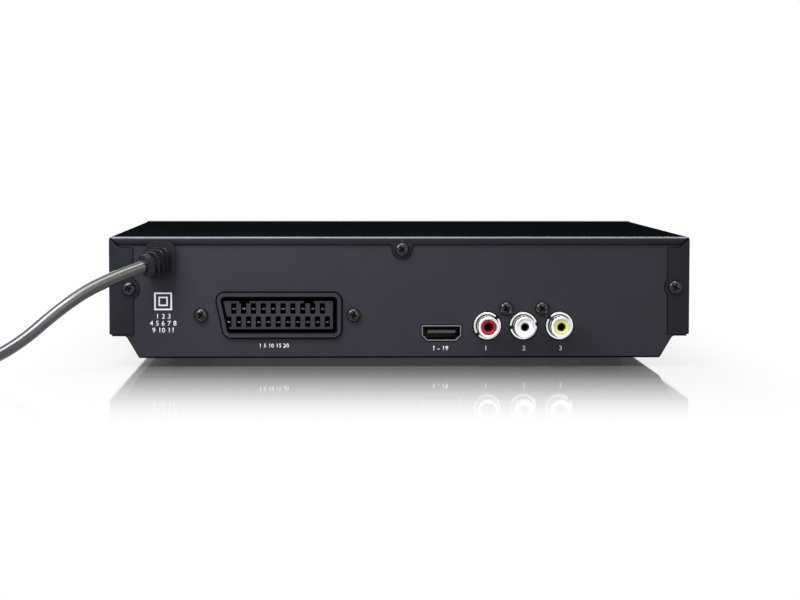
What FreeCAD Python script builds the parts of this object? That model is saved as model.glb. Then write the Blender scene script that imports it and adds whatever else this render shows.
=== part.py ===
"""A tray-loading disc player with a mains cord, built as a parametric document.

X runs across the case, Y from the front (-Y) to the back (+Y) and Z up from the surface that it
stands on. Heights of the inner parts are given above the underside of the case.
"""

import FreeCAD, Part
import math
import os
from types import SimpleNamespace

import Sketcher

# Driving sizes: millimetres, with angles in degrees and counts where the name says so
SIZES = {
    # Case
    "case_width": 225.0,
    "case_height": 47.0,
    "body_depth": 200.0,
    "foot_height": 3.5,
    "cover_sheet": 0.8,
    "pan_sheet": 0.8,
    "panel_sheet": 0.8,
    "seam_gap": 0.3,
    "cover_bend": 1.2,
    "skirt_height": 9.3,
    "ledge_height": 8.5,
    "ledge_inset": 6.5,
    "floor_inset": 11.5,
    "pan_wall_height": 30.0,
    "corner_round": 1.5,
    "top_flange": 2.9,
    "left_flange": 9.2,
    "right_flange": 8.5,
    "side_flange_top": 42.9,
    "mitre_reach": 3.9,
    "mitre_gap": 0.9,
    "ear_radius": 3.9,
    "tab_radius": 3.7,
    "tab_shoulder": 5.0,
    "left_screw_inset": 7.7,
    "left_screw_height": 27.05,
    "right_screw_inset": 5.7,
    "right_screw_height": 27.5,
    "top_screw_x": -0.6,
    "top_screw_height": 42.2,
    "tab_plate_half": 5.0,
    "vent_width": 2.5,
    "vent_length": 36.0,
    "vent_pitch": 6.0,
    "vent_count": 8,
    # Feet
    "foot_radius": 9.0,
    "foot_taper": 0.8,
    "foot_hollow": 4.5,
    "foot_hollow_depth": 1.0,
    "foot_x": 84.0,
    "front_foot_inset": 26.0,
    "rear_foot_inset": 50.0,
    # Screws
    "screw_head_radius": 2.8,
    "screw_head": 2.0,
    "screw_radius": 1.4,
    "screw_length": 6.0,
    "screw_hole": 1.55,
    "screw_cross": 3.2,
    "screw_cross_width": 0.7,
    "screw_cross_depth": 1.1,
    # Front
    "front_depth": 14.0,
    "front_wall": 2.5,
    "front_round": 2.0,
    "front_tab_width": 20.0,
    "front_tab_length": 14.0,
    "front_tab_sheet": 2.0,
    "front_tab_x": 84.0,
    "window_x": 74.0,
    "window_width": 58.0,
    "window_height": 33.0,
    "window_tall": 14.0,
    "window_sheet": 1.5,
    "window_lip": 2.0,
    "button_proud": 0.8,
    "button_gap": 0.35,
    "button_travel": 0.6,
    "button_collar": 1.2,
    "button_row_height": 19.0,
    "button_width": 11.0,
    "button_tall": 5.0,
    "button_corner": 1.5,
    "play_x": 56.0,
    "stop_x": 70.0,
    "eject_x": 84.0,
    "power_x": 98.0,
    "power_height": 12.0,
    "power_radius": 5.0,
    "plunger_radius": 2.0,
    "usb_x": 54.0,
    "usb_height": 8.5,
    "usb_width": 13.2,
    "usb_tall": 5.8,
    "usb_wall": 0.4,
    "front_board_left": 40.5,
    "front_board_right": 107.0,
    "front_board_bottom": 3.6,
    "front_board_top": 43.0,
    "front_board_corner": 8.0,
    "front_board_inset": 8.5,
    "switch_size": 6.0,
    "switch_body": 3.5,
    "switch_stem_radius": 1.7,
    "display_width": 36.0,
    "display_tall": 9.5,
    "display_x": 67.0,
    "eye_x": 95.0,
    "eye_size": 6.0,
    # Boards
    "board_sheet": 1.6,
    "board_height": 5.0,
    "boss_radius": 3.0,
    "main_left": -72.0,
    "main_right": 80.0,
    "main_depth": 53.0,
    "main_gap": 0.6,
    "power_left": 47.5,
    "power_right": 101.0,
    "power_front": -72.0,
    "power_rear": 32.0,
    "boss_inset": 4.0,
    # Sockets at the back
    "scart_x": 47.3,
    "scart_height": 16.7,
    "scart_width": 48.7,
    "scart_tall": 17.2,
    "scart_slant": 3.7,
    "scart_slant_moat": 1.1,
    "scart_corner": 3.0,
    "scart_rim": 1.4,
    "scart_moat": 1.75,
    "scart_proud": 1.4,
    "scart_block_set_back": 1.2,
    "scart_cavity": 9.0,
    "scart_body": 14.0,
    "scart_flange": 2.0,
    "scart_flange_half": 34.5,
    "scart_screw_left": 77.1,
    "scart_screw_right": 18.1,
    "contact_pitch": 3.81,
    "contact_slot_width": 2.0,
    "contact_slot_tall": 4.1,
    "contact_slot_depth": 7.0,
    "contact_row_rise": 2.565,
    "contact_count": 10,
    "key_notch_width": 4.0,
    "key_notch_deep": 0.9,
    "key_notch_left": 60.3,
    "key_notch_right": 35.4,
    "hdmi_x": -16.0,
    "hdmi_height": 9.65,
    "hdmi_width": 15.4,
    "hdmi_tall": 6.1,
    "hdmi_notch": 2.1,
    "hdmi_wall": 0.5,
    "hdmi_depth": 11.0,
    "hdmi_proud": 0.3,
    "hdmi_hole_gap": 0.3,
    "hdmi_tongue_width": 10.8,
    "hdmi_tongue_sheet": 1.1,
    "jack_reach": 9.5,
    "jack_first_x": -33.8,
    "jack_pitch": 14.05,
    "jack_count": 3,
    "jack_height": 12.5,
    "jack_flange_radius": 5.35,
    "jack_flange_sheet": 0.6,
    "jack_hole_gap": 0.25,
    "jack_barrel_radius": 4.15,
    "jack_wall": 0.85,
    "jack_ring_bore": 1.65,
    "jack_ring_set_back": 0.5,
    "jack_block_depth": 11.0,
    "jack_block_top": 22.6,
    "jack_block_side": 6.8,
    "jack_screw_height": 19.2,
    "jack_screw_left": -41.2,
    "jack_screw_right": -55.1,
    # Loader
    "disc_x": -32.0,
    "disc_y": -22.0,
    "disc_radius": 60.0,
    "loader_left": -104.0,
    "loader_right": 40.0,
    "loader_front": -86.0,
    "loader_rear": 76.0,
    "loader_floor": 14.0,
    "loader_sheet": 2.0,
    "loader_top": 40.0,
    "loader_rear_wall": 25.0,
    "loader_lip": 19.0,
    "loader_post_radius": 4.0,
    "post_left_x": -98.0,
    "post_right_x": 34.0,
    "post_front_y": -80.0,
    "post_rear_y": 69.0,
    "post_middle_y": 32.0,
    "runner_top": 26.2,
    "runner_inset": 4.9,
    "runner_sheet": 2.0,
    "runner_gap": 0.3,
    "keeper_length": 15.0,
    "keeper_sheet": 1.7,
    "tray_half": 64.5,
    "tray_flange": 2.0,
    "tray_flange_sheet": 2.0,
    "tray_bottom": 28.2,
    "tray_top": 33.0,
    "tray_rear": 72.0,
    "tray_corner": 3.0,
    "tray_travel": 136.0,
    "recess_gap": 1.0,
    "recess_floor": 30.0,
    "small_disc_radius": 41.0,
    "small_disc_step": 0.9,
    "tray_slot_half": 23.0,
    "door_sheet": 3.0,
    "door_half": 67.0,
    "door_bottom": 21.2,
    "door_top": 35.2,
    "door_gap": 0.4,
    "door_round": 0.8,
    "rack_module": 1.0,
    "rack_x": -88.0,
    "rack_bottom": 22.0,
    "rack_back": 4.0,
    "rack_margin": 3.0,
    "tray_gear_teeth": 18,
    "pinion_teeth": 10,
    "gear_line_y": -72.0,
    "gear_bottom": 21.8,
    "gear_top": 25.5,
    "gear_hub_radius": 3.0,
    "gear_bore": 1.65,
    "gear_post_radius": 1.5,
    "gear_clearance": 0.3,
    "pulley_radius": 10.0,
    "pulley_bottom": 18.4,
    "pulley_top": 21.4,
    "groove_depth": 1.5,
    "groove_wall": 0.7,
    "belt_sheet": 1.1,
    "motor_pulley_radius": 4.2,
    "loading_motor_x": -25.0,
    "loading_motor_radius": 12.0,
    "loading_motor_length": 12.2,
    "motor_boss_radius": 3.0,
    "motor_shaft_radius": 1.0,
    "shaft_clearance": 0.05,
    "traverse_left": -64.0,
    "traverse_right": 0.0,
    "traverse_front": -44.0,
    "traverse_rear": 66.5,
    "traverse_bottom": 18.5,
    "traverse_top": 22.5,
    "pivot_y": 62.0,
    "pivot_height": 20.5,
    "pivot_radius": 2.0,
    "pivot_clearance": 0.1,
    "lug_thickness": 4.0,
    "lug_top": 24.0,
    "opening_gap": 2.0,
    "sled_opening_left": -57.5,
    "sled_opening_right": -6.5,
    "sled_opening_front": -9.0,
    "sled_opening_rear": 54.0,
    "tilt_angle": 5.0,
    "lift_travel": 14.0,
    "lift_pin_radius": 1.4,
    "lift_pin_left": -46.0,
    "lift_pin_right": -20.0,
    "lift_slot_gap": 0.35,
    "lift_plate": 2.5,
    "lift_plate_gap": 5.0,
    "lift_left": -50.5,
    "lift_right": -1.5,
    "lift_bottom": 8.0,
    "lift_top": 24.5,
    "lift_flange": 8.5,
    "lift_flange_sheet": 1.5,
    "hook_width": 6.0,
    "hook_left_x": -43.0,
    "hook_right_x": -20.0,
    "spindle_radius": 12.5,
    "spindle_top": 27.6,
    "turntable_radius": 14.0,
    "turntable_bottom": 28.2,
    "turntable_seat": 31.2,
    "turntable_top": 33.0,
    "cone_radius": 7.4,
    "cone_top_radius": 6.2,
    "clamper_bottom": 32.6,
    "clamper_sheet": 3.0,
    "clamper_radius": 16.0,
    "clamper_recess_radius": 8.4,
    "clamper_recess_top": 34.2,
    "clamper_neck_radius": 9.5,
    "clamper_flange_radius": 14.0,
    "clamper_flange_sheet": 1.5,
    "clamper_gap": 0.3,
    "bridge_sheet": 1.5,
    "bridge_half": 20.0,
    "bridge_hole": 10.5,
    "bridge_hook": 4.0,
    "rod_radius": 1.5,
    "rod_left": -54.0,
    "rod_right": -10.0,
    "rod_front": -14.0,
    "rod_rear": 59.0,
    "rod_fit": 0.02,
    "rod_clearance": 0.15,
    "sled_gap": 0.5,
    "sled_front": -8.3,
    "sled_rear": 16.0,
    "sled_bottom": 17.5,
    "sled_top": 24.2,
    "sled_travel": 34.0,
    "tower_half": 10.0,
    "tower_top": 26.5,
    "tower_front": -5.0,
    "tower_rear": 14.0,
    "lens_y": 3.0,
    "lens_holder_half": 5.0,
    "lens_holder_bottom": 27.1,
    "lens_holder_top": 28.8,
    "lens_radius": 3.0,
    "lens_top": 29.6,
    "lens_travel": 0.4,
    "lens_pin_offset": 6.5,
    "lens_pin_radius": 1.0,
    "sled_gear_x": -60.5,
    "sled_gear_y": 18.0,
    "sled_gear_teeth": 20,
    "sled_gear_module": 0.8,
    "sled_gear_bottom": 12.8,
    "sled_gear_top": 15.2,
    "sled_rack_back": 2.8,
    "sled_rack_margin": 2.0,
    "sled_motor_radius": 8.0,
    "sled_motor_bottom": 6.0,
    "sled_motor_flange": 11.0,
    "sled_motor_top": 12.0,
    "sled_motor_ear": 12.6,
    "sled_post_radius": 1.4,
    "sled_post_offset": 11.0,
    # Parts on the boards
    "inlet_x": 90.5,
    "inlet_rear": 22.0,
    "inlet_depth": 8.0,
    "inlet_half": 6.0,
    "inlet_tall": 8.0,
    "lead_radius": 2.0,
    "plug_part_tall": 4.4,
    "plug_part_depth": 4.0,
    "ribbon_sheet": 0.6,
    "ribbon_left": 41.2,
    "ribbon_right": 46.2,
    "link_left": 59.0,
    "link_right": 69.0,
    "transformer_x": 72.0,
    "transformer_y": -8.0,
    "transformer_width": 24.0,
    "transformer_depth": 20.0,
    "transformer_tall": 21.0,
    "transformer_core": 5.0,
    "transformer_coil": 9.0,
    "heatsink_x": 92.0,
    "heatsink_y": -18.0,
    "heatsink_length": 30.0,
    "heatsink_tall": 24.0,
    "heatsink_base": 2.0,
    "heatsink_fin": 1.2,
    "heatsink_fin_reach": 6.0,
    "heatsink_fin_count": 5,
    # Mains cord; its route's points are chosen by hand
    "cord_diameter": 5.0,
    "grommet_x": 92.5,
    "grommet_height": 38.1,
    "grommet_width": 11.2,
    "grommet_tall": 14.4,
    "grommet_corner": 3.0,
    "grommet_stand_off": 1.1,
    "grommet_sheet": 2.4,
    "grommet_neck_width": 8.4,
    "grommet_neck_tall": 10.0,
    "grommet_lip": 1.0,
    "grommet_inner": 4.0,
    "boot_shoulder": 4.4,
    "boot_fins": 4,
    "boot_fin_sheet": 0.95,
    "boot_collar": 2.2,
    "boot_corner": 2.2,
    "boot_first_half_width": 4.4,
    "boot_last_half_width": 3.8,
    "boot_first_half_tall": 5.5,
    "boot_last_half_tall": 4.3,
    "boot_core_radius": 3.5,
    "boot_tip": 1.6,
    "boot_exit_x": 97.7,
    "boot_exit_y": 108.3,
    "boot_exit_height": 36.35,
    "first_leg": 19.5,
    "coil_x": 207.0,
    "coil_y": 95.0,
    "coil_radius": 30.2,
    "coil_turn_pitch": 5.8,
    "coil_layer_rise": 5.7,
    "coil_whole_turns": 7,
    "coil_in_angle": 90.0,
    "coil_out_angle": -30.0,
    "coil_lift": 0.6,
    "coil_climb_pinch": 0.8,
    "tie_sheet": 0.5,
    "tie_width": 6.0,
    "tie_angle": 200.0,
    "tail_length": 20.0,
    "plug_lift": 0.1,
    "plug_body": 36.0,
    "plug_boot": 16.0,
    "plug_boot_radius": 4.4,
    "plug_width": 35.3,
    "plug_waist": 15.0,
    "plug_sheet": 13.7,
    "plug_corner": 3.0,
    "pin_radius": 2.0,
    "pin_length": 19.0,
    "pin_spacing": 18.6,
}

document = FreeCAD.newDocument("DiscPlayer")
sheet = document.addObject("Spreadsheet::Sheet", "Sizes")
for row, (alias, amount) in enumerate(SIZES.items(), start=1):
    sheet.set(f"A{row}", alias)
    sheet.set(f"B{row}", str(amount))
    sheet.setAlias(f"B{row}", alias)
document.recompute()


class Size:
    """A number that also says which cells of the sheet it is worked out from."""

    def __init__(self, number, text):
        self.number = number
        self.text = text

    def __add__(self, other):
        other = sized(other)
        return Size(self.number + other.number, f"({self.text} + {other.text})")

    def __radd__(self, other):
        return sized(other) + self

    def __sub__(self, other):
        other = sized(other)
        return Size(self.number - other.number, f"({self.text} - {other.text})")

    def __rsub__(self, other):
        return sized(other) - self

    def __mul__(self, other):
        other = sized(other)
        return Size(self.number * other.number, f"({self.text} * {other.text})")

    def __rmul__(self, other):
        return sized(other) * self

    def __truediv__(self, other):
        other = sized(other)
        return Size(self.number / other.number, f"({self.text} / {other.text})")

    def __rtruediv__(self, other):
        return sized(other) / self

    def __neg__(self):
        return Size(-self.number, f"(0 - {self.text})")

    def root(self):
        return Size(math.sqrt(self.number), f"sqrt({self.text})")


def sized(value):
    """Any number as a Size."""
    if isinstance(value, Size):
        return value
    return Size(float(value), f"({float(value)})")


def sine(degrees):
    return Size(math.sin(math.radians(degrees.number)), f"sin({degrees.text} * 1deg)")


cell = SimpleNamespace(**{alias: Size(amount, f"Sizes.{alias}") for alias, amount in SIZES.items()})

# Places that many pieces share
half = cell.case_width / 2
ledge_half = half - cell.ledge_inset
floor_half = half - cell.floor_inset
bottom = cell.foot_height
top = bottom + cell.case_height
total_depth = cell.body_depth - cell.cover_sheet + cell.button_proud + cell.jack_reach
back = total_depth / 2 - cell.jack_reach
inside_back = back - cell.panel_sheet
front = back + cell.cover_sheet - cell.body_depth
inside_front = front + cell.front_wall
front_end = front + cell.front_depth
board_top = cell.board_height + cell.board_sheet


def height(value):
    """A height above the underside of the case, as a place on Z."""
    return bottom + value


def bind(thing, name, value):
    """Ties a property to the cells that a size comes from."""
    value = sized(value)
    thing.setExpression(name, value.text)


def place(thing, x, y, z, rotation=None):
    """Puts an object at a place that follows the sheet."""
    x, y, z = sized(x), sized(y), sized(z)
    at = FreeCAD.Vector(x.number, y.number, z.number)
    thing.Placement = FreeCAD.Placement(at, rotation or FreeCAD.Rotation())
    for axis, value in (("x", x), ("y", y), ("z", z)):
        if "Sizes." in value.text:
            bind(thing, f"Placement.Base.{axis}", value)
    return thing


# Outlines and sketches

PLANES = {"x": ("YZ_Plane", 1), "y": ("XZ_Plane", -1), "z": ("XY_Plane", 1)}


def flat(x, y):
    return FreeCAD.Vector(sized(x).number, sized(y).number, 0)


def constrain(sketch, rules):
    """Adds constraints; a last item that is a Size gives the value and the expression."""
    made = []
    for rule in rules:
        words = [item.number if isinstance(item, Size) else item for item in rule]
        made.append(Sketcher.Constraint(*words))
    first = sketch.ConstraintCount
    sketch.addConstraint(made)
    for number, rule in enumerate(rules):
        if isinstance(rule[-1], Size):
            bind(sketch, f"Constraints[{first + number}]", rule[-1])


def fixed_point(piece, end, x, y):
    """Rules that hold one end of a piece of outline at a place."""
    return [
        ("DistanceX", -1, 1, piece, end, sized(x)),
        ("DistanceY", -1, 1, piece, end, sized(y)),
    ]


def polygon(points):
    """A closed outline through points."""

    def draw(sketch):
        first = sketch.GeometryCount
        count = len(points)
        lines = []
        rules = []
        for number, point in enumerate(points):
            follower = points[(number + 1) % count]
            lines.append(Part.LineSegment(flat(*point), flat(*follower)))
            rules.append(("Coincident", first + number, 2, first + (number + 1) % count, 1))
        for number, point in enumerate(points):
            rules.extend(fixed_point(first + number, 1, *point))
        sketch.addGeometry(lines, False)
        constrain(sketch, rules)

    return draw


def rectangle(x, y, corner=None):
    """An upright rectangle between two pairs of places, with its corners rounded if asked."""
    (left, right), (low, high) = x, y
    if corner is None:
        return polygon([(left, low), (right, low), (right, high), (left, high)])

    def draw(sketch):
        first = sketch.GeometryCount
        centres = [
            (right - corner, low + corner),
            (right - corner, high - corner),
            (left + corner, high - corner),
            (left + corner, low + corner),
        ]
        ends = [
            ((left + corner, low), (right - corner, low)),
            ((right, low + corner), (right, high - corner)),
            ((right - corner, high), (left + corner, high)),
            ((left, high - corner), (left, low + corner)),
        ]
        shapes = []
        rules = []
        for side, (start, end) in enumerate(ends):
            turn = (side - 1) * math.pi / 2
            circle = Part.Circle(flat(*centres[side]), FreeCAD.Vector(0, 0, 1), sized(corner).number)
            shapes.append(Part.LineSegment(flat(*start), flat(*end)))
            shapes.append(Part.ArcOfCircle(circle, turn, turn + math.pi / 2))
            line = first + 2 * side
            arc = line + 1
            following = first + (2 * side + 2) % 8
            rules.append(("Tangent", line, 2, arc, 1))
            rules.append(("Tangent", arc, 2, following, 1))
            rules.extend(fixed_point(arc, 3, *centres[side]))
            rules.append(("Radius", arc, sized(corner)))
        sketch.addGeometry(shapes, False)
        constrain(sketch, rules)

    return draw


def loop(first_centre, first_radius, second_centre, second_radius):
    """The outline of a band stretched round two circles."""
    (x1, y1), (x2, y2) = first_centre, second_centre
    dx, dy = sized(x2) - x1, sized(y2) - y1
    apart = (dx * dx + dy * dy).root()
    along = (sized(first_radius) - second_radius) / apart
    across = (1 - along * along).root()
    ux, uy = dx / apart, dy / apart
    right = (along * ux + across * uy, along * uy - across * ux)
    left = (along * ux - across * uy, along * uy + across * ux)

    def touch(centre, radius, way):
        return flat(centre[0] + radius * way[0], centre[1] + radius * way[1])

    def bow(centre, radius, start, end):
        low = math.atan2(start[1].number, start[0].number)
        high = math.atan2(end[1].number, end[0].number)
        round_part = Part.Circle(flat(*centre), FreeCAD.Vector(0, 0, 1), sized(radius).number)
        return Part.ArcOfCircle(round_part, low, high if high > low else high + 2 * math.pi)

    def draw(sketch):
        first = sketch.GeometryCount
        one, other = (first_centre, first_radius), (second_centre, second_radius)
        shapes = [
            Part.LineSegment(touch(*one, right), touch(*other, right)),
            bow(*other, right, left),
            Part.LineSegment(touch(*other, left), touch(*one, left)),
            bow(*one, left, right),
        ]
        rules = [("Tangent", first + number, 2, first + (number + 1) % 4, 1) for number in range(4)]
        for number, centre, radius in ((1, second_centre, second_radius), (3, first_centre, first_radius)):
            rules.extend(fixed_point(first + number, 3, *centre))
            rules.append(("Radius", first + number, sized(radius)))
        sketch.addGeometry(shapes, False)
        constrain(sketch, rules)

    return draw


def circle(x, y, radius):
    """A circle at a place."""

    def draw(sketch):
        first = sketch.GeometryCount
        shape = Part.Circle(flat(x, y), FreeCAD.Vector(0, 0, 1), sized(radius).number)
        sketch.addGeometry([shape], False)
        constrain(sketch, fixed_point(first, 3, x, y) + [("Radius", first, sized(radius))])

    return draw


def origin_plane(body, role):
    for feature in body.Origin.OriginFeatures:
        if feature.Role == role:
            return feature
    raise RuntimeError(f"no {role} in {body.Name}")


def new_body(name):
    return document.addObject("PartDesign::Body", name)


def extrude(body, name, axis, start, end, outlines, cut=False):
    """Pads, or pockets, what the outlines enclose, between two places on an axis."""
    start, end = sized(start), sized(end)
    plane, sign = PLANES[axis]
    sketch = body.newObject("Sketcher::SketchObject", f"{name}Outline")
    sketch.AttachmentSupport = [(origin_plane(body, plane), "")]
    sketch.MapMode = "FlatFace"
    offset = start * sign
    sketch.AttachmentOffset = FreeCAD.Placement(FreeCAD.Vector(0, 0, offset.number), FreeCAD.Rotation())
    bind(sketch, "AttachmentOffset.Base.z", offset)
    for draw in outlines:
        draw(sketch)
    feature = body.newObject("PartDesign::Pocket" if cut else "PartDesign::Pad", name)
    feature.Profile = sketch
    with_normal = (end.number > start.number) == (sign > 0)
    feature.Reversed = with_normal if cut else not with_normal
    span = end - start if end.number > start.number else start - end
    feature.Length = span.number
    bind(feature, "Length", span)
    return feature


def carve(body, name, axis, start, end, outlines):
    """A pocket that has to take something away."""
    document.recompute()
    before = body.Shape.Volume
    feature = extrude(body, name, axis, start, end, outlines, cut=True)
    document.recompute()
    if body.Shape.Volume > before - 0.01:
        raise RuntimeError(f"{body.Name} {name} cuts nothing")
    return feature


def round_edges(body, name, radius, wanted):
    """Rounds the edges of a body's last feature that a test picks by their middle and direction."""
    document.recompute()
    base = body.Tip
    picked = []
    for number, edge in enumerate(base.Shape.Edges, start=1):
        if edge.Curve.TypeId != "Part::GeomLine":
            continue
        middle = edge.valueAt((edge.FirstParameter + edge.LastParameter) / 2)
        direction = edge.tangentAt(edge.FirstParameter)
        if wanted(middle, direction):
            picked.append(f"Edge{number}")
    if not picked:
        raise RuntimeError(f"{body.Name} {name} finds no edges")
    feature = body.newObject("PartDesign::Fillet", name)
    feature.Base = (base, picked)
    feature.Radius = radius.number
    bind(feature, "Radius", radius)
    return feature


def near(value, target):
    return abs(value - sized(target).number) < 0.01


# Primitives and booleans


def box(name, x, y, z):
    """A block between pairs of places."""
    thing = document.addObject("Part::Box", name)
    for prop, (low, high) in (("Length", x), ("Width", y), ("Height", z)):
        bind(thing, prop, sized(high) - sized(low))
    return place(thing, x[0], y[0], z[0])


TURNS = {
    "x": FreeCAD.Rotation(FreeCAD.Vector(0, 1, 0), 90),
    "y": FreeCAD.Rotation(FreeCAD.Vector(1, 0, 0), -90),
    "z": FreeCAD.Rotation(),
}


def spot(axis, centre, along):
    """A point whose place along an axis and across it are given apart."""
    a, b = centre
    return {"x": (along, a, b), "y": (a, along, b), "z": (a, b, along)}[axis]


def cylinder(name, axis, centre, radius, start, end):
    thing = document.addObject("Part::Cylinder", name)
    bind(thing, "Radius", radius)
    bind(thing, "Height", sized(end) - sized(start))
    return place(thing, *spot(axis, centre, start), TURNS[axis])


def cone(name, axis, centre, radii, start, end):
    thing = document.addObject("Part::Cone", name)
    bind(thing, "Radius1", radii[0])
    bind(thing, "Radius2", radii[1])
    bind(thing, "Height", sized(end) - sized(start))
    return place(thing, *spot(axis, centre, start), TURNS[axis])


def fuse(name, parts):
    thing = document.addObject("Part::MultiFuse", name)
    thing.Shapes = list(parts)
    return thing


def cut(name, base, tools):
    """Takes tools away from a base, one boolean for all of them."""
    tool = tools[0] if len(tools) == 1 else fuse(f"{name}_tools", tools)
    thing = document.addObject("Part::Cut", name)
    thing.Base = base
    thing.Tool = tool
    return thing


def group(name, parts):
    """Separate solids that share a node."""
    thing = document.addObject("Part::Compound", name)
    thing.Links = list(parts)
    return thing


nodes = {}


def node(name, thing):
    """Names a finished piece."""
    thing.Label = name
    nodes[name] = thing
    return thing


def shaped(name, shape):
    """A piece whose form needs a formula."""
    thing = document.addObject("Part::Feature", name)
    thing.Shape = shape
    return thing


def screw(name, axis, seat, length, cross=True):
    """A pan-head screw whose head stands on the far side of its seat along an axis."""
    x, y, z = seat
    across, along = {"x": ((y, z), x), "y": ((x, z), y), "z": ((x, y), z)}[axis]
    crown = cell.screw_head / 2
    radius = cell.screw_head_radius
    shank = cylinder(f"{name}_shank", axis, across, cell.screw_radius, along - length, along)
    head = cylinder(f"{name}_head", axis, across, radius, along, along + crown)
    dome = cone(f"{name}_dome", axis, across, (radius, radius - crown), along + crown, along + 2 * crown)
    solid = fuse(f"{name}_solid", [shank, head, dome])
    if not cross:
        return solid
    long = cell.screw_cross / 2
    thin = cell.screw_cross_width / 2
    end = along + cell.screw_head
    arms = []
    for number, (wide, tall) in enumerate(((long, thin), (thin, long))):
        a = (across[0] - wide, across[0] + wide)
        b = (across[1] - tall, across[1] + tall)
        depth = (end - cell.screw_cross_depth, end)
        arms.append(box(f"{name}_cross_{number}", *{"y": (a, depth, b), "z": (a, b, depth)}[axis]))
    return cut(name, solid, arms)


# Case


def make_top_cover():
    """Folded sheet: top, two sides and narrow flanges turned in on the back."""
    body = new_body("top_cover")
    skirt = height(cell.skirt_height)
    outer_back = back + cell.cover_sheet
    cover_front = front_end + cell.seam_gap
    extrude(body, "Shell", "y", cover_front, outer_back, [rectangle((-half, half), (skirt, top))])

    def is_bend(middle, direction):
        side = near(abs(middle.x), half)
        upper = near(middle.z, top)
        rear = near(middle.y, outer_back)
        return (side and upper) or (side and rear) or (upper and rear)

    round_edges(body, "Bends", cell.cover_bend, is_bend)
    inner = half - cell.cover_sheet
    room = rectangle((-inner, inner), (skirt - cell.cover_sheet, top - cell.cover_sheet))
    carve(body, "Room", "y", cover_front, back, [room])

    left = half - cell.left_flange
    right = cell.right_flange - half
    low = skirt - cell.cover_sheet
    flange_top = height(cell.side_flange_top)
    lip = top - cell.top_flange
    corner = flange_top + cell.mitre_reach
    turn = half - cell.mitre_reach
    meet = turn - cell.mitre_gap + (lip - flange_top)
    opening = [
        (right, low),
        (left, low),
        (left, flange_top),
        (turn, flange_top),
        (half, corner),
        (half - cell.mitre_gap, corner),
        (meet, lip),
        (-meet, lip),
        (cell.mitre_gap - half, corner),
        (-half, corner),
        (-turn, flange_top),
        (right, flange_top),
    ]
    carve(body, "BackOpening", "y", back, outer_back, [polygon(opening)])
    ears = [circle(x, z, cell.ear_radius) for x, z in side_screw_places()]
    extrude(body, "Ears", "y", back, outer_back, ears)
    x, z = top_screw_place()
    extrude(body, "Tab", "y", back, outer_back, [circle(x, z, cell.tab_radius)])
    shoulder = [
        (x - cell.tab_radius * 0.9, z + cell.seam_gap),
        (x + cell.tab_radius * 0.9, z + cell.seam_gap),
        (x + cell.tab_shoulder, lip + cell.seam_gap),
        (x - cell.tab_shoulder, lip + cell.seam_gap),
    ]
    extrude(body, "TabShoulder", "y", back, outer_back, [polygon(shoulder)])
    holes = [circle(a, b, cell.screw_hole) for a, b in [*side_screw_places(), (x, z)]]
    carve(body, "ScrewHoles", "y", back, outer_back, holes)
    node("top_cover", body)


def side_screw_places():
    return [
        (half - cell.left_screw_inset, height(cell.left_screw_height)),
        (cell.right_screw_inset - half, height(cell.right_screw_height)),
    ]


def top_screw_place():
    return (cell.top_screw_x, height(cell.top_screw_height))


def case_outline(wall_half, wall_top, inset):
    """Half of the folded case's section, inset by a sheet: floor, slanted side, ledge and wall."""
    run = ledge_half - floor_half
    rise = cell.ledge_height
    shift = inset * ((run * run + rise * rise).root() - run) / rise
    ledge = height(cell.ledge_height) + inset
    return [
        (floor_half - shift, bottom + inset),
        (ledge_half - shift, ledge),
        (wall_half - inset, ledge),
        (wall_half - inset, wall_top),
    ]


def mirrored(points):
    """The same points on the other side of X = 0, in the opposite order."""
    return [(-x, z) for x, z in reversed(points)]


def main_board_bosses():
    left = cell.main_left + cell.boss_inset
    right = cell.main_right - cell.boss_inset
    rear = inside_back - cell.main_gap
    near_y = rear - cell.main_depth + cell.boss_inset
    far_y = rear - 4 * cell.boss_inset
    return [(left, near_y), (right, near_y), (left, far_y), (right, far_y)]


def power_board_bosses():
    left = cell.power_left + cell.boss_inset
    right = cell.power_right - cell.boss_inset
    near_y = cell.power_front + cell.boss_inset
    far_y = cell.power_rear - cell.boss_inset
    return [(left, near_y), (right, near_y), (left, far_y), (right, far_y)]


def loader_posts():
    return [
        (cell.post_left_x, cell.post_front_y),
        (cell.post_right_x, cell.post_front_y),
        (cell.post_left_x, cell.post_rear_y),
        (cell.post_right_x, cell.post_middle_y),
    ]


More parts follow.
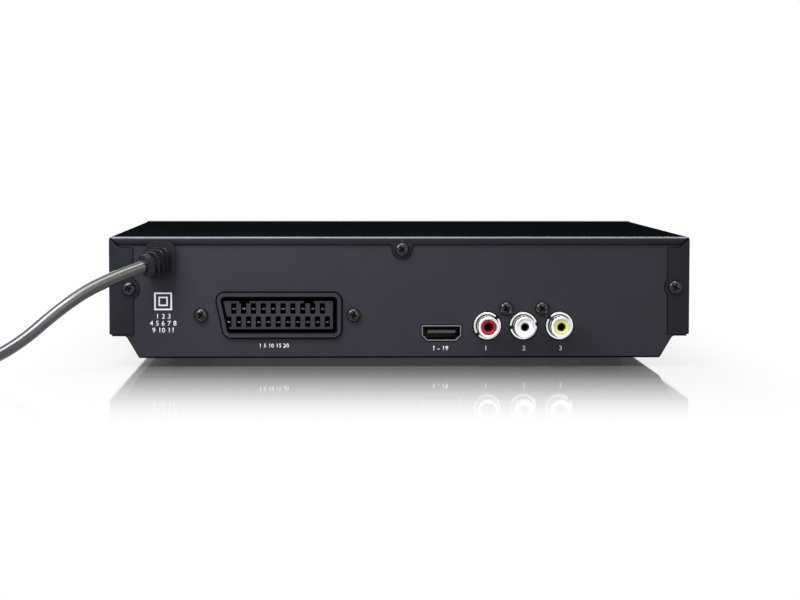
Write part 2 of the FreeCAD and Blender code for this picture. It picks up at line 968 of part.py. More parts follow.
def make_chassis_pan():
    """Folded floor with slanted corners, ledges, side walls, stand-offs and vents."""
    body = new_body("chassis_pan")
    wall_half = half - cell.cover_sheet - cell.seam_gap
    wall_top = height(cell.pan_wall_height)
    outer = case_outline(wall_half, wall_top, sized(0))
    inner = case_outline(wall_half, wall_top, cell.pan_sheet)
    outline = mirrored(outer) + outer + list(reversed(inner)) + list(reversed(mirrored(inner)))
    extrude(body, "Sheet", "y", front_end, inside_back, [polygon(outline)])

    floor = height(cell.pan_sheet)
    bosses = []
    for x, y in main_board_bosses() + power_board_bosses():
        bosses += [circle(x, y, cell.boss_radius), circle(x, y, cell.screw_hole)]
    extrude(body, "BoardBosses", "z", floor, height(cell.board_height), bosses)
    posts = []
    for x, y in loader_posts():
        posts += [circle(x, y, cell.loader_post_radius), circle(x, y, cell.screw_hole)]
    extrude(body, "LoaderPosts", "z", floor, height(cell.loader_floor), posts)

    plate_back = inside_back - cell.pan_sheet
    ledge = height(cell.ledge_height)
    plates = []
    for x, z in side_screw_places():
        side = 1 if x.number > 0 else -1
        inner_x = x - side * cell.tab_plate_half
        outer_x = side * wall_half
        ends = (inner_x, outer_x) if side > 0 else (outer_x, inner_x)
        plates += [rectangle(ends, (ledge, z + cell.tab_plate_half)), circle(x, z, cell.screw_hole)]
    extrude(body, "ScrewPlates", "y", plate_back, inside_back, plates)

    vents = []
    for number in range(int(cell.vent_count.number)):
        for side in (-1, 1):
            x = side * (cell.foot_x - 4.5 * cell.vent_pitch + number * cell.vent_pitch)
            low = cell.disc_y - cell.vent_length / 2
            slot = ((x - cell.vent_width / 2, x + cell.vent_width / 2), (low, low + cell.vent_length))
            vents.append(rectangle(*slot))
    carve(body, "Vents", "z", floor, bottom, vents)
    node("chassis_pan", body)


def scart_outline(inset, slant_inset=None):
    """The socket's outline, one end slanted, moved inwards by an inset."""
    x = cell.scart_x
    z = height(cell.scart_height)
    wide = cell.scart_width / 2
    tall = cell.scart_tall
    lean = cell.scart_slant / tall
    shift = (inset if slant_inset is None else slant_inset) * (lean * lean + 1).root()
    return [
        (x - wide + inset, z - tall / 2 + inset),
        (x + wide - lean * (tall - inset) - shift, z - tall / 2 + inset),
        (x + wide - lean * inset - shift, z + tall / 2 - inset),
        (x - wide + inset, z + tall / 2 - inset),
    ]


def hdmi_outline(inset):
    """The socket's outline, its lower corners cut off, moved inwards by an inset."""
    x = cell.hdmi_x
    z = height(cell.hdmi_height)
    wide = cell.hdmi_width / 2 - inset
    tall = cell.hdmi_tall / 2 - inset
    notch = cell.hdmi_notch - inset * (2 - sized(2).root())
    return [
        (x - wide + notch, z - tall),
        (x + wide - notch, z - tall),
        (x + wide, z - tall + notch),
        (x + wide, z + tall),
        (x - wide, z + tall),
        (x - wide, z - tall + notch),
    ]


def jack_places():
    places = []
    for number in range(int(cell.jack_count.number)):
        places.append((cell.jack_first_x - number * cell.jack_pitch, height(cell.jack_height)))
    return places


def socket_screw_places():
    scart_z = height(cell.scart_height)
    jack_z = height(cell.jack_screw_height)
    return [
        (cell.scart_screw_left, scart_z),
        (cell.scart_screw_right, scart_z),
        (cell.jack_screw_left, jack_z),
        (cell.jack_screw_right, jack_z),
    ]


def make_rear_panel():
    """Flat sheet behind the cover's flanges, with a cut-out for each socket."""
    body = new_body("rear_panel")
    wall_half = half - cell.cover_sheet - cell.seam_gap
    panel_top = top - cell.cover_sheet - cell.seam_gap
    side = case_outline(wall_half, panel_top, sized(0))
    extrude(body, "Sheet", "y", inside_back, back, [polygon(mirrored(side) + side)])

    def is_corner(middle, direction):
        low = near(abs(middle.x), floor_half) and near(middle.z, bottom)
        ledge = near(abs(middle.x), ledge_half) and near(middle.z, height(cell.ledge_height))
        return abs(direction.y) > 0.9 and (low or ledge)

    round_edges(body, "Corners", cell.corner_round, is_corner)
    gap = cell.seam_gap / 2
    x = cell.grommet_x
    z = height(cell.grommet_height)
    wide = cell.grommet_neck_width / 2 + gap
    tall = cell.grommet_neck_tall / 2 + gap
    holes = [
        polygon(scart_outline(-gap)),
        polygon(hdmi_outline(-cell.hdmi_hole_gap)),
        rectangle((x - wide, x + wide), (z - tall, z + tall), cell.corner_round),
    ]
    for a, b in jack_places():
        holes.append(circle(a, b, cell.jack_flange_radius + cell.jack_hole_gap))
    for a, b in [*socket_screw_places(), *side_screw_places(), top_screw_place()]:
        holes.append(circle(a, b, cell.screw_hole))
    carve(body, "CutOuts", "y", back, inside_back, holes)
    socket = scart_outline(-gap)

    def is_socket_corner(middle, direction):
        return abs(direction.y) > 0.9 and any(near(middle.x, a) and near(middle.z, b) for a, b in socket)

    round_edges(body, "SocketCorners", cell.scart_corner + gap, is_socket_corner)
    node("rear_panel", body)


def make_feet():
    """Four rubber feet with a hollow underneath."""
    feet = []
    for side in (1, -1):
        for y in (front + cell.front_foot_inset, back - cell.rear_foot_inset):
            centre = (side * cell.foot_x, y)
            radii = (cell.foot_radius - cell.foot_taper, cell.foot_radius)
            pad = cone("foot_pad", "z", centre, radii, 0, bottom)
            hollow = cylinder("foot_hollow", "z", centre, cell.foot_hollow, 0, cell.foot_hollow_depth)
            feet.append(cut("foot", pad, [hollow]))
    node("feet", group("feet", feet))


def make_screws():
    """The screws of the back, of the sockets and of what is inside."""
    seat = back + cell.cover_sheet
    places = [*side_screw_places(), top_screw_place()]
    cover = [screw("cover_screw", "y", (x, seat, z), cell.screw_length) for x, z in places]
    node("cover_screws", group("cover_screws", cover))
    sockets = [screw("socket_screw", "y", (x, back, z), cell.screw_length) for x, z in socket_screw_places()]
    node("socket_screws", group("socket_screws", sockets))

    inner = []
    shank = cell.screw_length - cell.board_sheet
    for x, y in main_board_bosses() + power_board_bosses():
        inner.append(screw("board_screw", "z", (x, y, height(board_top)), shank, cross=False))
    loader_seat = height(cell.loader_floor + cell.loader_sheet)
    for x, y in loader_posts():
        inner.append(screw("loader_screw", "z", (x, y, loader_seat), cell.screw_length, cross=False))
    board_back = front_board_face() + cell.board_sheet
    for x, z in front_board_bosses():
        inner.append(screw("front_screw", "y", (x, board_back, z), shank, cross=False))
    node("inner_screws", group("inner_screws", inner))


# Front


def front_board_face():
    return inside_front + cell.front_board_inset


def front_board_bosses():
    left = cell.front_board_left + cell.boss_radius
    right = cell.front_board_right - cell.boss_radius
    high = height(cell.front_board_top - cell.boss_radius)
    return [
        (left, high),
        (right, high),
        (left, height(cell.front_board_bottom + cell.boss_radius)),
        (right, height(cell.button_row_height + cell.boss_inset)),
    ]


def button_row():
    return [("play_button", cell.play_x), ("stop_button", cell.stop_x), ("eject_button", cell.eject_x)]


def button_outline(x, grow):
    z = height(cell.button_row_height)
    wide = cell.button_width / 2 + grow
    tall = cell.button_tall / 2 + grow
    return rectangle((x - wide, x + wide), (z - tall, z + tall), cell.button_corner + grow)


def window_range(grow):
    x = cell.window_x
    z = height(cell.window_height)
    wide = cell.window_width / 2 + grow
    tall = cell.window_tall / 2 + grow
    return (x - wide, x + wide), (z - tall, z + tall)


def usb_range(grow):
    x = cell.usb_x
    z = height(cell.usb_height)
    wide = cell.usb_width / 2 + grow
    tall = cell.usb_tall / 2 + grow
    return (x - wide, x + wide), (z - tall, z + tall)


def door_range(grow):
    across = (cell.disc_x - cell.door_half - grow, cell.disc_x + cell.door_half + grow)
    return across, (height(cell.door_bottom) - grow, height(cell.door_top) + grow)


def front_outline(inset):
    slope = floor_half - inset
    wall = half - inset
    return [
        (-slope, bottom + inset),
        (slope, bottom + inset),
        (wall, height(cell.skirt_height) + inset / 2),
        (wall, top - inset),
        (-wall, top - inset),
        (-wall, height(cell.skirt_height) + inset / 2),
    ]


def make_front_panel():
    """Moulded front with the tray opening, window recess, button and socket holes."""
    body = new_body("front_panel")
    extrude(body, "Shell", "y", front, front_end, [polygon(front_outline(sized(0)))])
    round_edges(body, "FrontEdges", cell.front_round, lambda middle, direction: near(middle.y, front))
    carve(body, "Room", "y", front_end, inside_front, [polygon(front_outline(cell.front_wall))])
    grow = cell.button_gap
    holes = [
        rectangle(*door_range(cell.door_gap)),
        rectangle(*window_range(-cell.window_lip)),
        rectangle(*usb_range(grow)),
        circle(cell.power_x, height(cell.power_height), cell.power_radius + grow),
    ]
    holes += [button_outline(x, grow) for _, x in button_row()]
    carve(body, "Openings", "y", front, inside_front, holes)
    window_back = front + cell.window_sheet
    carve(body, "WindowSeat", "y", front, window_back, [rectangle(*window_range(cell.shaft_clearance))])
    bosses = []
    for x, z in front_board_bosses():
        bosses += [circle(x, z, cell.boss_radius), circle(x, z, cell.screw_hole)]
    extrude(body, "BoardBosses", "y", inside_front, front_board_face(), bosses)
    tabs = []
    for side in (-1, 1):
        middle = side * cell.front_tab_x
        ends = (middle - cell.front_tab_width / 2, middle + cell.front_tab_width / 2)
        tabs.append(rectangle(ends, (inside_front, front_end + cell.front_tab_length)))
    tab_floor = height(cell.pan_sheet)
    extrude(body, "FloorTabs", "z", tab_floor, tab_floor + cell.front_tab_sheet, tabs)
    node("front_panel", body)


def make_window():
    body = new_body("display_window")
    window_back = front + cell.window_sheet
    extrude(body, "Plate", "y", front, window_back, [rectangle(*window_range(sized(0)), cell.window_sheet)])
    node("display_window", body)


def button_places():
    """Where each button's cap, collar and plunger end, from the front inwards."""
    collar = inside_front + cell.button_gap
    stem = front_board_face() - cell.switch_body - cell.button_collar
    return front - cell.button_proud, collar, collar + cell.button_collar, stem - cell.button_travel - 0.1


def make_buttons():
    """Three flat keys in a row and a round one; each has a collar behind the panel and a plunger."""
    cap, collar, collar_end, plunger_end = button_places()
    for name, x in button_row():
        body = new_body(name)
        extrude(body, "Cap", "y", cap, collar, [button_outline(x, sized(0))])
        extrude(body, "Collar", "y", collar, collar_end, [button_outline(x, sized(1))])
        plunger = circle(x, height(cell.button_row_height), cell.plunger_radius)
        extrude(body, "Plunger", "y", collar_end, plunger_end, [plunger])
        node(name, body)
    body = new_body("power_button")
    x = cell.power_x
    z = height(cell.power_height)
    extrude(body, "Cap", "y", cap, collar, [circle(x, z, cell.power_radius)])
    extrude(body, "Collar", "y", collar, collar_end, [circle(x, z, cell.power_radius + 1)])
    extrude(body, "Plunger", "y", collar_end, plunger_end, [circle(x, z, cell.plunger_radius)])
    node("power_button", body)


def make_front_board():
    """The front circuit board, with its switches, display, remote eye and USB socket."""
    face = front_board_face()
    body = new_body("front_board")
    low, high = height(cell.front_board_bottom), height(cell.front_board_top)
    corner = cell.front_board_corner
    outline = [
        (cell.front_board_left, low),
        (cell.front_board_right - corner, low),
        (cell.front_board_right, low + corner * 0.75),
        (cell.front_board_right, high),
        (cell.front_board_left, high),
    ]
    holes = [circle(x, z, cell.screw_hole) for x, z in front_board_bosses()]
    extrude(body, "Sheet", "y", face, face + cell.board_sheet, [polygon(outline), *holes])
    node("front_board", body)

    switches = []
    row = height(cell.button_row_height)
    places = [(x, row) for _, x in button_row()] + [(cell.power_x, height(cell.power_height))]
    side = cell.switch_size / 2
    for x, z in places:
        body_face = face - cell.switch_body
        block = box("switch_body", (x - side, x + side), (body_face, face), (z - side, z + side))
        stem_face = body_face - cell.button_collar
        stem = cylinder("switch_stem", "y", (x, z), cell.switch_stem_radius, stem_face, body_face)
        switches.append(fuse("switch", [block, stem]))
    node("tact_switches", group("tact_switches", switches))

    x = cell.display_x
    z = height(cell.window_height)
    wide = cell.display_width / 2
    tall = cell.display_tall / 2
    screen = inside_front + cell.seam_gap
    case = box("display_case", (x - wide, x + wide), (screen, face), (z - tall, z + tall))
    lip = cell.window_sheet
    glass = box(
        "display_face",
        (x - wide + lip, x + wide - lip),
        (screen, screen + cell.seam_gap),
        (z - tall + lip, z + tall - lip),
    )
    node("display_module", cut("display_module", case, [glass]))

    x = cell.eye_x
    side = cell.eye_size / 2
    middle = (screen + face) / 2
    block = box("eye_block", (x - side, x + side), (middle, face), (z - side, z + side))
    dome = cylinder("eye_dome", "y", (x, z), side * 0.8, screen, middle)
    node("ir_receiver", fuse("ir_receiver", [block, dome]))

    across, upright = usb_range(sized(0))
    wall = cell.usb_wall
    shell = box("usb_shell", across, (front, face), upright)
    room = box(
        "usb_room",
        (across[0] + wall, across[1] - wall),
        (front, face - wall),
        (upright[0] + wall, upright[1] - wall),
    )
    hollow = cut("usb_hollow", shell, [room])
    middle = height(cell.usb_height)
    tongue = box(
        "usb_tongue",
        (across[0] + 3 * wall, across[1] - 3 * wall),
        (front + 2 * wall, face - wall),
        (middle, middle + 4 * wall),
    )
    node("usb_socket", fuse("usb_socket", [hollow, tongue]))


# Sockets at the back


def make_scart_socket():
    """Socket with a slanted end, a moat round its contact block and a slot for each contact."""
    body = new_body("scart_socket")
    x = cell.scart_x
    z = height(cell.scart_height)
    mouth = back + cell.scart_proud
    extrude(body, "Housing", "y", back - cell.scart_body, mouth, [polygon(scart_outline(sized(0)))])

    def is_corner(middle, direction):
        return abs(direction.y) > 0.9

    round_edges(body, "Corners", cell.scart_corner, is_corner)
    wide = cell.scart_flange_half
    tall = cell.scart_tall / 2
    plate = [rectangle((x - wide, x + wide), (z - tall, z + tall))]
    plate += [circle(a, b, cell.screw_hole) for a, b in socket_screw_places()[:2]]
    extrude(body, "MountingPlate", "y", inside_back - cell.scart_flange, inside_back, plate)
    low = z - tall + cell.scart_rim
    reach = cell.scart_width / 2 - 2 * cell.scart_corner
    legs = []
    for side in (-1, 1):
        middle = x + side * reach
        legs.append(rectangle((middle - cell.scart_rim, middle + cell.scart_rim), (height(board_top), low)))
    extrude(body, "Legs", "y", back - cell.scart_body, inside_back - cell.scart_flange, legs)

    inside = scart_outline(cell.scart_rim + cell.scart_moat, cell.scart_rim + cell.scart_slant_moat)
    cavity = mouth - cell.scart_cavity
    moat = [polygon(scart_outline(cell.scart_rim)), polygon(inside)]
    carve(body, "Moat", "y", mouth, cavity, moat)
    rim = scart_outline(cell.scart_rim)

    def is_moat_corner(middle, direction):
        return abs(direction.y) > 0.9 and any(near(middle.x, a) and near(middle.z, b) for a, b in rim)

    round_edges(body, "MoatCorners", cell.scart_corner - cell.scart_rim, is_moat_corner)
    between = scart_outline(cell.scart_rim + cell.scart_slant_moat / 2)
    face = mouth - cell.scart_block_set_back
    carve(body, "BlockFace", "y", mouth, face, [polygon(between)])
    slots = []
    wide = cell.contact_slot_width / 2
    tall = cell.contact_slot_tall / 2
    for row, extra in ((1, 0), (-1, 1)):
        count = int(cell.contact_count.number) + extra
        level = z + row * cell.contact_row_rise
        for number in range(count):
            middle = x + (number - (count - 1) / 2) * cell.contact_pitch
            slots.append(rectangle((middle - wide, middle + wide), (level - tall, level + tall)))
    carve(body, "Contacts", "y", face, face - cell.contact_slot_depth, slots)
    upper = z + cell.scart_tall / 2 - cell.scart_rim - cell.scart_moat
    notches = []
    for middle in (cell.key_notch_left, cell.key_notch_right):
        ends = (middle - cell.key_notch_width / 2, middle + cell.key_notch_width / 2)
        notches.append(rectangle(ends, (upper - cell.key_notch_deep, upper + cell.key_notch_deep)))
    carve(body, "KeyNotches", "y", face, cavity, notches)
    node("scart_socket", body)


def make_hdmi_socket():
    """Metal shell with a flat contact tongue."""
    body = new_body("hdmi_shell")
    mouth = back + cell.hdmi_proud
    end = back - cell.hdmi_depth
    extrude(body, "Shell", "y", end, mouth, [polygon(hdmi_outline(sized(0)))])
    carve(body, "Room", "y", mouth, end + cell.hdmi_wall, [polygon(hdmi_outline(cell.hdmi_wall))])
    node("hdmi_shell", body)
    wide = cell.hdmi_tongue_width / 2
    tall = cell.hdmi_tongue_sheet
    tongue = box(
        "hdmi_tongue",
        (cell.hdmi_x - wide, cell.hdmi_x + wide),
        (end + cell.hdmi_wall, back - 2 * cell.hdmi_wall),
        (height(cell.hdmi_height), height(cell.hdmi_height) + tall),
    )
    node("hdmi_tongue", tongue)


def make_jacks():
    """Three round jacks on one block; each has a metal barrel round a coloured ring."""
    body = new_body("jack_block")
    last = cell.jack_first_x - (cell.jack_count - 1) * cell.jack_pitch
    ends = (last - cell.jack_block_side, cell.jack_first_x + cell.jack_block_side)
    upright = (height(board_top), height(cell.jack_block_top))
    start = inside_back - cell.jack_block_depth
    extrude(body, "Block", "y", start, inside_back, [rectangle(ends, upright)])
    holes = [circle(x, z, cell.screw_hole) for x, z in socket_screw_places()[2:]]
    holes += [circle(x, z, cell.jack_ring_bore) for x, z in jack_places()]
    carve(body, "Bores", "y", inside_back, start + cell.panel_sheet, holes)
    node("jack_block", body)

    shells = []
    inner = cell.jack_barrel_radius - cell.jack_wall
    tip = back + cell.jack_reach
    for x, z in jack_places():
        flange_end = back + cell.jack_flange_sheet
        flange = cylinder("jack_flange", "y", (x, z), cell.jack_flange_radius, inside_back, flange_end)
        barrel = cylinder("jack_barrel", "y", (x, z), cell.jack_barrel_radius, back, tip)
        bore = cylinder("jack_bore", "y", (x, z), inner, inside_back, tip)
        shells.append(cut("jack_shell", fuse("jack_outside", [flange, barrel]), [bore]))
    node("jack_shells", group("jack_shells", shells))
    colours = ("red", "white", "yellow")
    for colour, (x, z) in zip(colours, jack_places()):
        ring_tip = tip - cell.jack_ring_set_back
        ring = cylinder(f"{colour}_ring", "y", (x, z), inner, inside_back, ring_tip)
        hole = cylinder(f"{colour}_bore", "y", (x, z), cell.jack_ring_bore, inside_back, ring_tip)
        node(f"{colour}_jack_ring", cut(f"{colour}_jack_ring", ring, [hole]))


# Boards


def block(name, centre, wide, deep, low, tall):
    """A block given by the middle of its underside."""
    x, y = centre
    return box(name, (x - wide / 2, x + wide / 2), (y - deep / 2, y + deep / 2), (low, low + tall))


def make_boards():
    """The two boards on the floor of the case."""
    rear = inside_back - cell.main_gap
    low = height(cell.board_height)
    high = height(board_top)
    body = new_body("main_board")
    outline = rectangle((cell.main_left, cell.main_right), (rear - cell.main_depth, rear))
    holes = [circle(x, y, cell.screw_hole) for x, y in main_board_bosses()]
    extrude(body, "Sheet", "z", low, high, [outline, *holes])
    node("main_board", body)
    body = new_body("power_board")
    outline = rectangle((cell.power_left, cell.power_right), (cell.power_front, cell.power_rear))
    holes = [circle(x, y, cell.screw_hole) for x, y in power_board_bosses()]
    extrude(body, "Sheet", "z", low, high, [outline, *holes])
    node("power_board", body)


def ribbon_middle():
    return (cell.ribbon_left + cell.ribbon_right) / 2


def link_middle():
    return (cell.link_left + cell.link_right) / 2


def make_board_parts():
    """Chips and connectors; what lies under the loader stays below it."""
    top_face = height(board_top)
    main_front = inside_back - cell.main_gap - cell.main_depth
    tall = cell.plug_part_tall
    deep = cell.plug_part_depth
    ribbon_wide = cell.ribbon_right - cell.ribbon_left + 1
    link_wide = cell.link_right - cell.link_left + 1
    rear_y = main_front + deep
    link_y = cell.power_rear - deep
    parts = [
        block("processor", (-20, main_front + 24), sized(16), sized(16), top_face, sized(1.8)),
        block("memory", (3, main_front + 26), sized(11), sized(18), top_face, sized(1.2)),
        block("motor_driver", (-46, main_front + 14), sized(8), sized(15), top_face, sized(2.2)),
        block("flash_memory", (-20, main_front + 8), sized(6), sized(5), top_face, sized(1.6)),
        block("crystal", (-4, main_front + 11), sized(11), sized(4.5), top_face, sized(3.5)),
        block("ribbon_socket", (ribbon_middle(), rear_y), ribbon_wide, deep, top_face, tall),
        block("link_socket", (link_middle(), rear_y), link_wide, deep, top_face, tall),
        block("link_plug", (link_middle(), link_y), link_wide, deep, top_face, tall),
        block("controller", (53, -18), sized(8), sized(10), top_face, sized(3.3)),
        block("bridge_rectifier", (58, -60), sized(6.5), sized(9), top_face, sized(4)),
        block("fuse_holder", (72, -62), sized(9), sized(9), top_face, sized(7)),
        block("inlet", (cell.inlet_x, cell.inlet_rear - cell.inlet_depth / 2), 2 * cell.inlet_half,
              cell.inlet_depth, top_face, cell.inlet_tall),
    ]
    board_back = front_board_face() + cell.board_sheet
    level = height(cell.front_board_bottom + 2 * tall)
    ends = (ribbon_middle() - ribbon_wide / 2, ribbon_middle() + ribbon_wide / 2)
    parts.append(box("front_socket", ends, (board_back, board_back + deep), (level, level + tall)))
    node("board_parts", group("board_parts", parts))


CAPACITORS = [
    ("reservoir", 60.0, -42.0, 8.0, 25.0),
    ("output", 86.0, -50.0, 5.0, 16.0),
    ("standby", 57.0, 14.0, 5.0, 20.0),
    ("filter", 72.0, 16.0, 4.0, 12.0),
    ("left_channel", 56.0, 62.0, 3.15, 11.0),
    ("right_channel", 66.0, 62.0, 3.15, 11.0),
    ("motor_supply", -60.0, 52.0, 2.5, 5.4),
    ("logic_supply", 22.0, 56.0, 2.5, 5.4),
]


def make_capacitors():
    """Upright cans; the low ones stand under the loader."""
    face = height(board_top)
    cans = []
    for name, x, y, radius, tall in CAPACITORS:
        can = cylinder(f"{name}_can", "z", (x, y), radius, face, face + tall - cell.seam_gap)
        low_part = cylinder(f"{name}_crown", "z", (x, y), radius * 0.85, face, face + tall)
        cans.append(fuse(f"{name}_capacitor", [can, low_part]))
    node("capacitors", group("capacitors", cans))


def make_transformer():
    face = height(board_top)
    x = cell.transformer_x
    y = cell.transformer_y
    wide = cell.transformer_width
    deep = cell.transformer_depth
    tall = cell.transformer_tall
    rim = cell.transformer_core / 2
    base = block("transformer_base", (x, y), wide, deep, face, rim)
    lid = block("transformer_lid", (x, y), wide, deep, face + tall - rim, rim)
    coil = cylinder("transformer_winding", "z", (x, y), cell.transformer_coil, face + rim, face + tall - rim)
    legs = []
    for side in (-1, 1):
        middle = x + side * (wide - cell.transformer_core) / 2
        legs.append(block("transformer_leg", (middle, y), cell.transformer_core, deep / 2, face, tall))
    node("transformer", fuse("transformer", [base, lid, coil, *legs]))


def make_heatsink():
    face = height(board_top)
    x = cell.heatsink_x
    y = cell.heatsink_y
    long = cell.heatsink_length
    plate = (x, x + cell.heatsink_base)
    upright = (face, face + cell.heatsink_tall)
    pieces = [box("heatsink_plate", plate, (y - long / 2, y + long / 2), upright)]
    count = int(cell.heatsink_fin_count.number)
    for number in range(count):
        start = y - long / 2 + number * (long - cell.heatsink_fin) / (cell.heatsink_fin_count - 1)
        fin = (x - cell.heatsink_fin_reach, x)
        pieces.append(box("heatsink_fin", fin, (start, start + cell.heatsink_fin), upright))
    node("heatsink", fuse("heatsink", pieces))


def make_ribbons():
    """One flat cable from the front board to the main board and one between the two boards."""
    thick = cell.ribbon_sheet
    across = (cell.ribbon_left, cell.ribbon_right)
    floor = height(cell.pan_sheet) + cell.seam_gap
    board_back = front_board_face() + cell.board_sheet
    front_y = board_back + cell.plug_part_depth * 0.6
    main_front = inside_back - cell.main_gap - cell.main_depth
    rear_y = main_front - cell.plug_part_tall / 2
    level = height(board_top + cell.plug_part_tall / 2)
    front_socket = height(cell.front_board_bottom + 2 * cell.plug_part_tall)
    run = box("ribbon_run", across, (front_y, rear_y), (floor, floor + thick))
    front_riser = box("ribbon_front", across, (front_y, front_y + thick), (floor, front_socket))
    rear_riser = box("ribbon_rear", across, (rear_y - thick, rear_y), (floor, level))
    socket_y = main_front + cell.plug_part_depth / 2
    end = box("ribbon_end", across, (rear_y - thick, socket_y), (level, level + thick))
    ribbon = fuse("front_ribbon", [run, front_riser, rear_riser, end])
    across = (cell.link_left, cell.link_right)
    start_y = cell.power_rear - cell.plug_part_depth / 2
    link = box("link_ribbon", across, (start_y, socket_y), (level, level + thick))
    node("ribbon_cables", group("ribbon_cables", [ribbon, link]))


# Gears and racks


PRESSURE_ANGLE = math.radians(20)
ADDENDUM = 0.7
DEDENDUM = 1.05
BACKLASH = 0.12


def involute(angle):
    return math.tan(angle) - angle


def tooth_outline(module, count, turned):
    """One tooth of a gear round the origin, pointing at an angle in degrees."""
    pitch = count / 2
    levels = (pitch - DEDENDUM - 0.3, pitch - DEDENDUM, pitch, pitch + ADDENDUM)
    base = pitch * math.cos(PRESSURE_ANGLE)
    flank = []
    for level in levels:
        at = math.acos(min(1.0, base / max(level, base)))
        spread = math.pi / (2 * count) + involute(PRESSURE_ANGLE) - involute(at) - BACKLASH / pitch
        flank.append((level, spread))
    middle = math.radians(turned)
    points = []
    for sign, side in ((-1, flank), (1, flank[::-1])):
        for level, spread in side:
            angle = middle + sign * spread
            points.append((module * (level * math.cos(angle)), module * (level * math.sin(angle))))
    return polygon(points)


def toothed(body, module, count, start, end, turned):
    """Pads a toothed wheel round the body's own Z axis."""
    teeth = int(count.number)
    root = module * (teeth / 2 - DEDENDUM)
    extrude(body, "ToothedRim", "z", start, end, [circle(0, 0, root)])
    tooth = extrude(body, "Tooth", "z", start, end, [tooth_outline(module, teeth, turned)])
    ring = body.newObject("PartDesign::PolarPattern", "Teeth")
    ring.Originals = [tooth]
    ring.Axis = (origin_plane(body, "Z_Axis"), [""])
    ring.Angle = 360
    ring.Occurrences = teeth
    bind(ring, "Occurrences", count)
    body.Tip = ring


def rack_tooth(module, line, middle, side):
    """One tooth of a rack along Y; its tip points along X, to the side given."""
    wide = math.pi / 4 - BACKLASH
    lean = math.tan(PRESSURE_ANGLE)
    points = []
    for sign, levels in ((-1, (-DEDENDUM - 0.3, ADDENDUM)), (1, (ADDENDUM, -DEDENDUM - 0.3))):
        for level in levels:
            y = middle + sign * module * (wide - level * lean)
            points.append((line + side * module * level, y))
    return polygon(points if side > 0 else points[::-1])


def rack_teeth(body, module, line, side, gear_y, reach, start, end):
    """Pads a row of teeth along Y that has a gap at the gear's place, and covers a reach of Y."""
    pitch = math.pi * module.number
    low, high = reach
    behind = math.floor((gear_y.number - low.number) / pitch - 0.5)
    count = behind + math.floor((high.number - gear_y.number) / pitch - 0.5) + 2
    first = gear_y - (behind + 0.5) * math.pi * module
    tooth = extrude(body, "RackTooth", "z", start, end, [rack_tooth(module, line, first, side)])
    row = body.newObject("PartDesign::LinearPattern", "RackTeeth")
    row.Originals = [tooth]
    row.Direction = (origin_plane(body, "Y_Axis"), [""])
    row.Length = (count - 1) * pitch
    bind(row, "Length", (count - 1) * math.pi * module)
    row.Occurrences = count
    body.Tip = row


# Loader


def tray_gear_place():
    return (cell.rack_x + cell.rack_module * cell.tray_gear_teeth / 2, cell.gear_line_y)


def pulley_gear_place():
    apart = cell.rack_module * (cell.tray_gear_teeth + cell.pinion_teeth) / 2
    return (tray_gear_place()[0] + apart, cell.gear_line_y)


def loading_motor_place():
    return (cell.loading_motor_x, cell.gear_line_y)


def mirrored_ends(low, high):
    """A pair of places and the same pair on the other side of the loader's middle."""
    middle = cell.loader_left + cell.loader_right - 2 * cell.disc_x
    right = (cell.disc_x + low, cell.disc_x + high)
    left = (cell.disc_x - high + middle, cell.disc_x - low + middle)
    return [right, left]


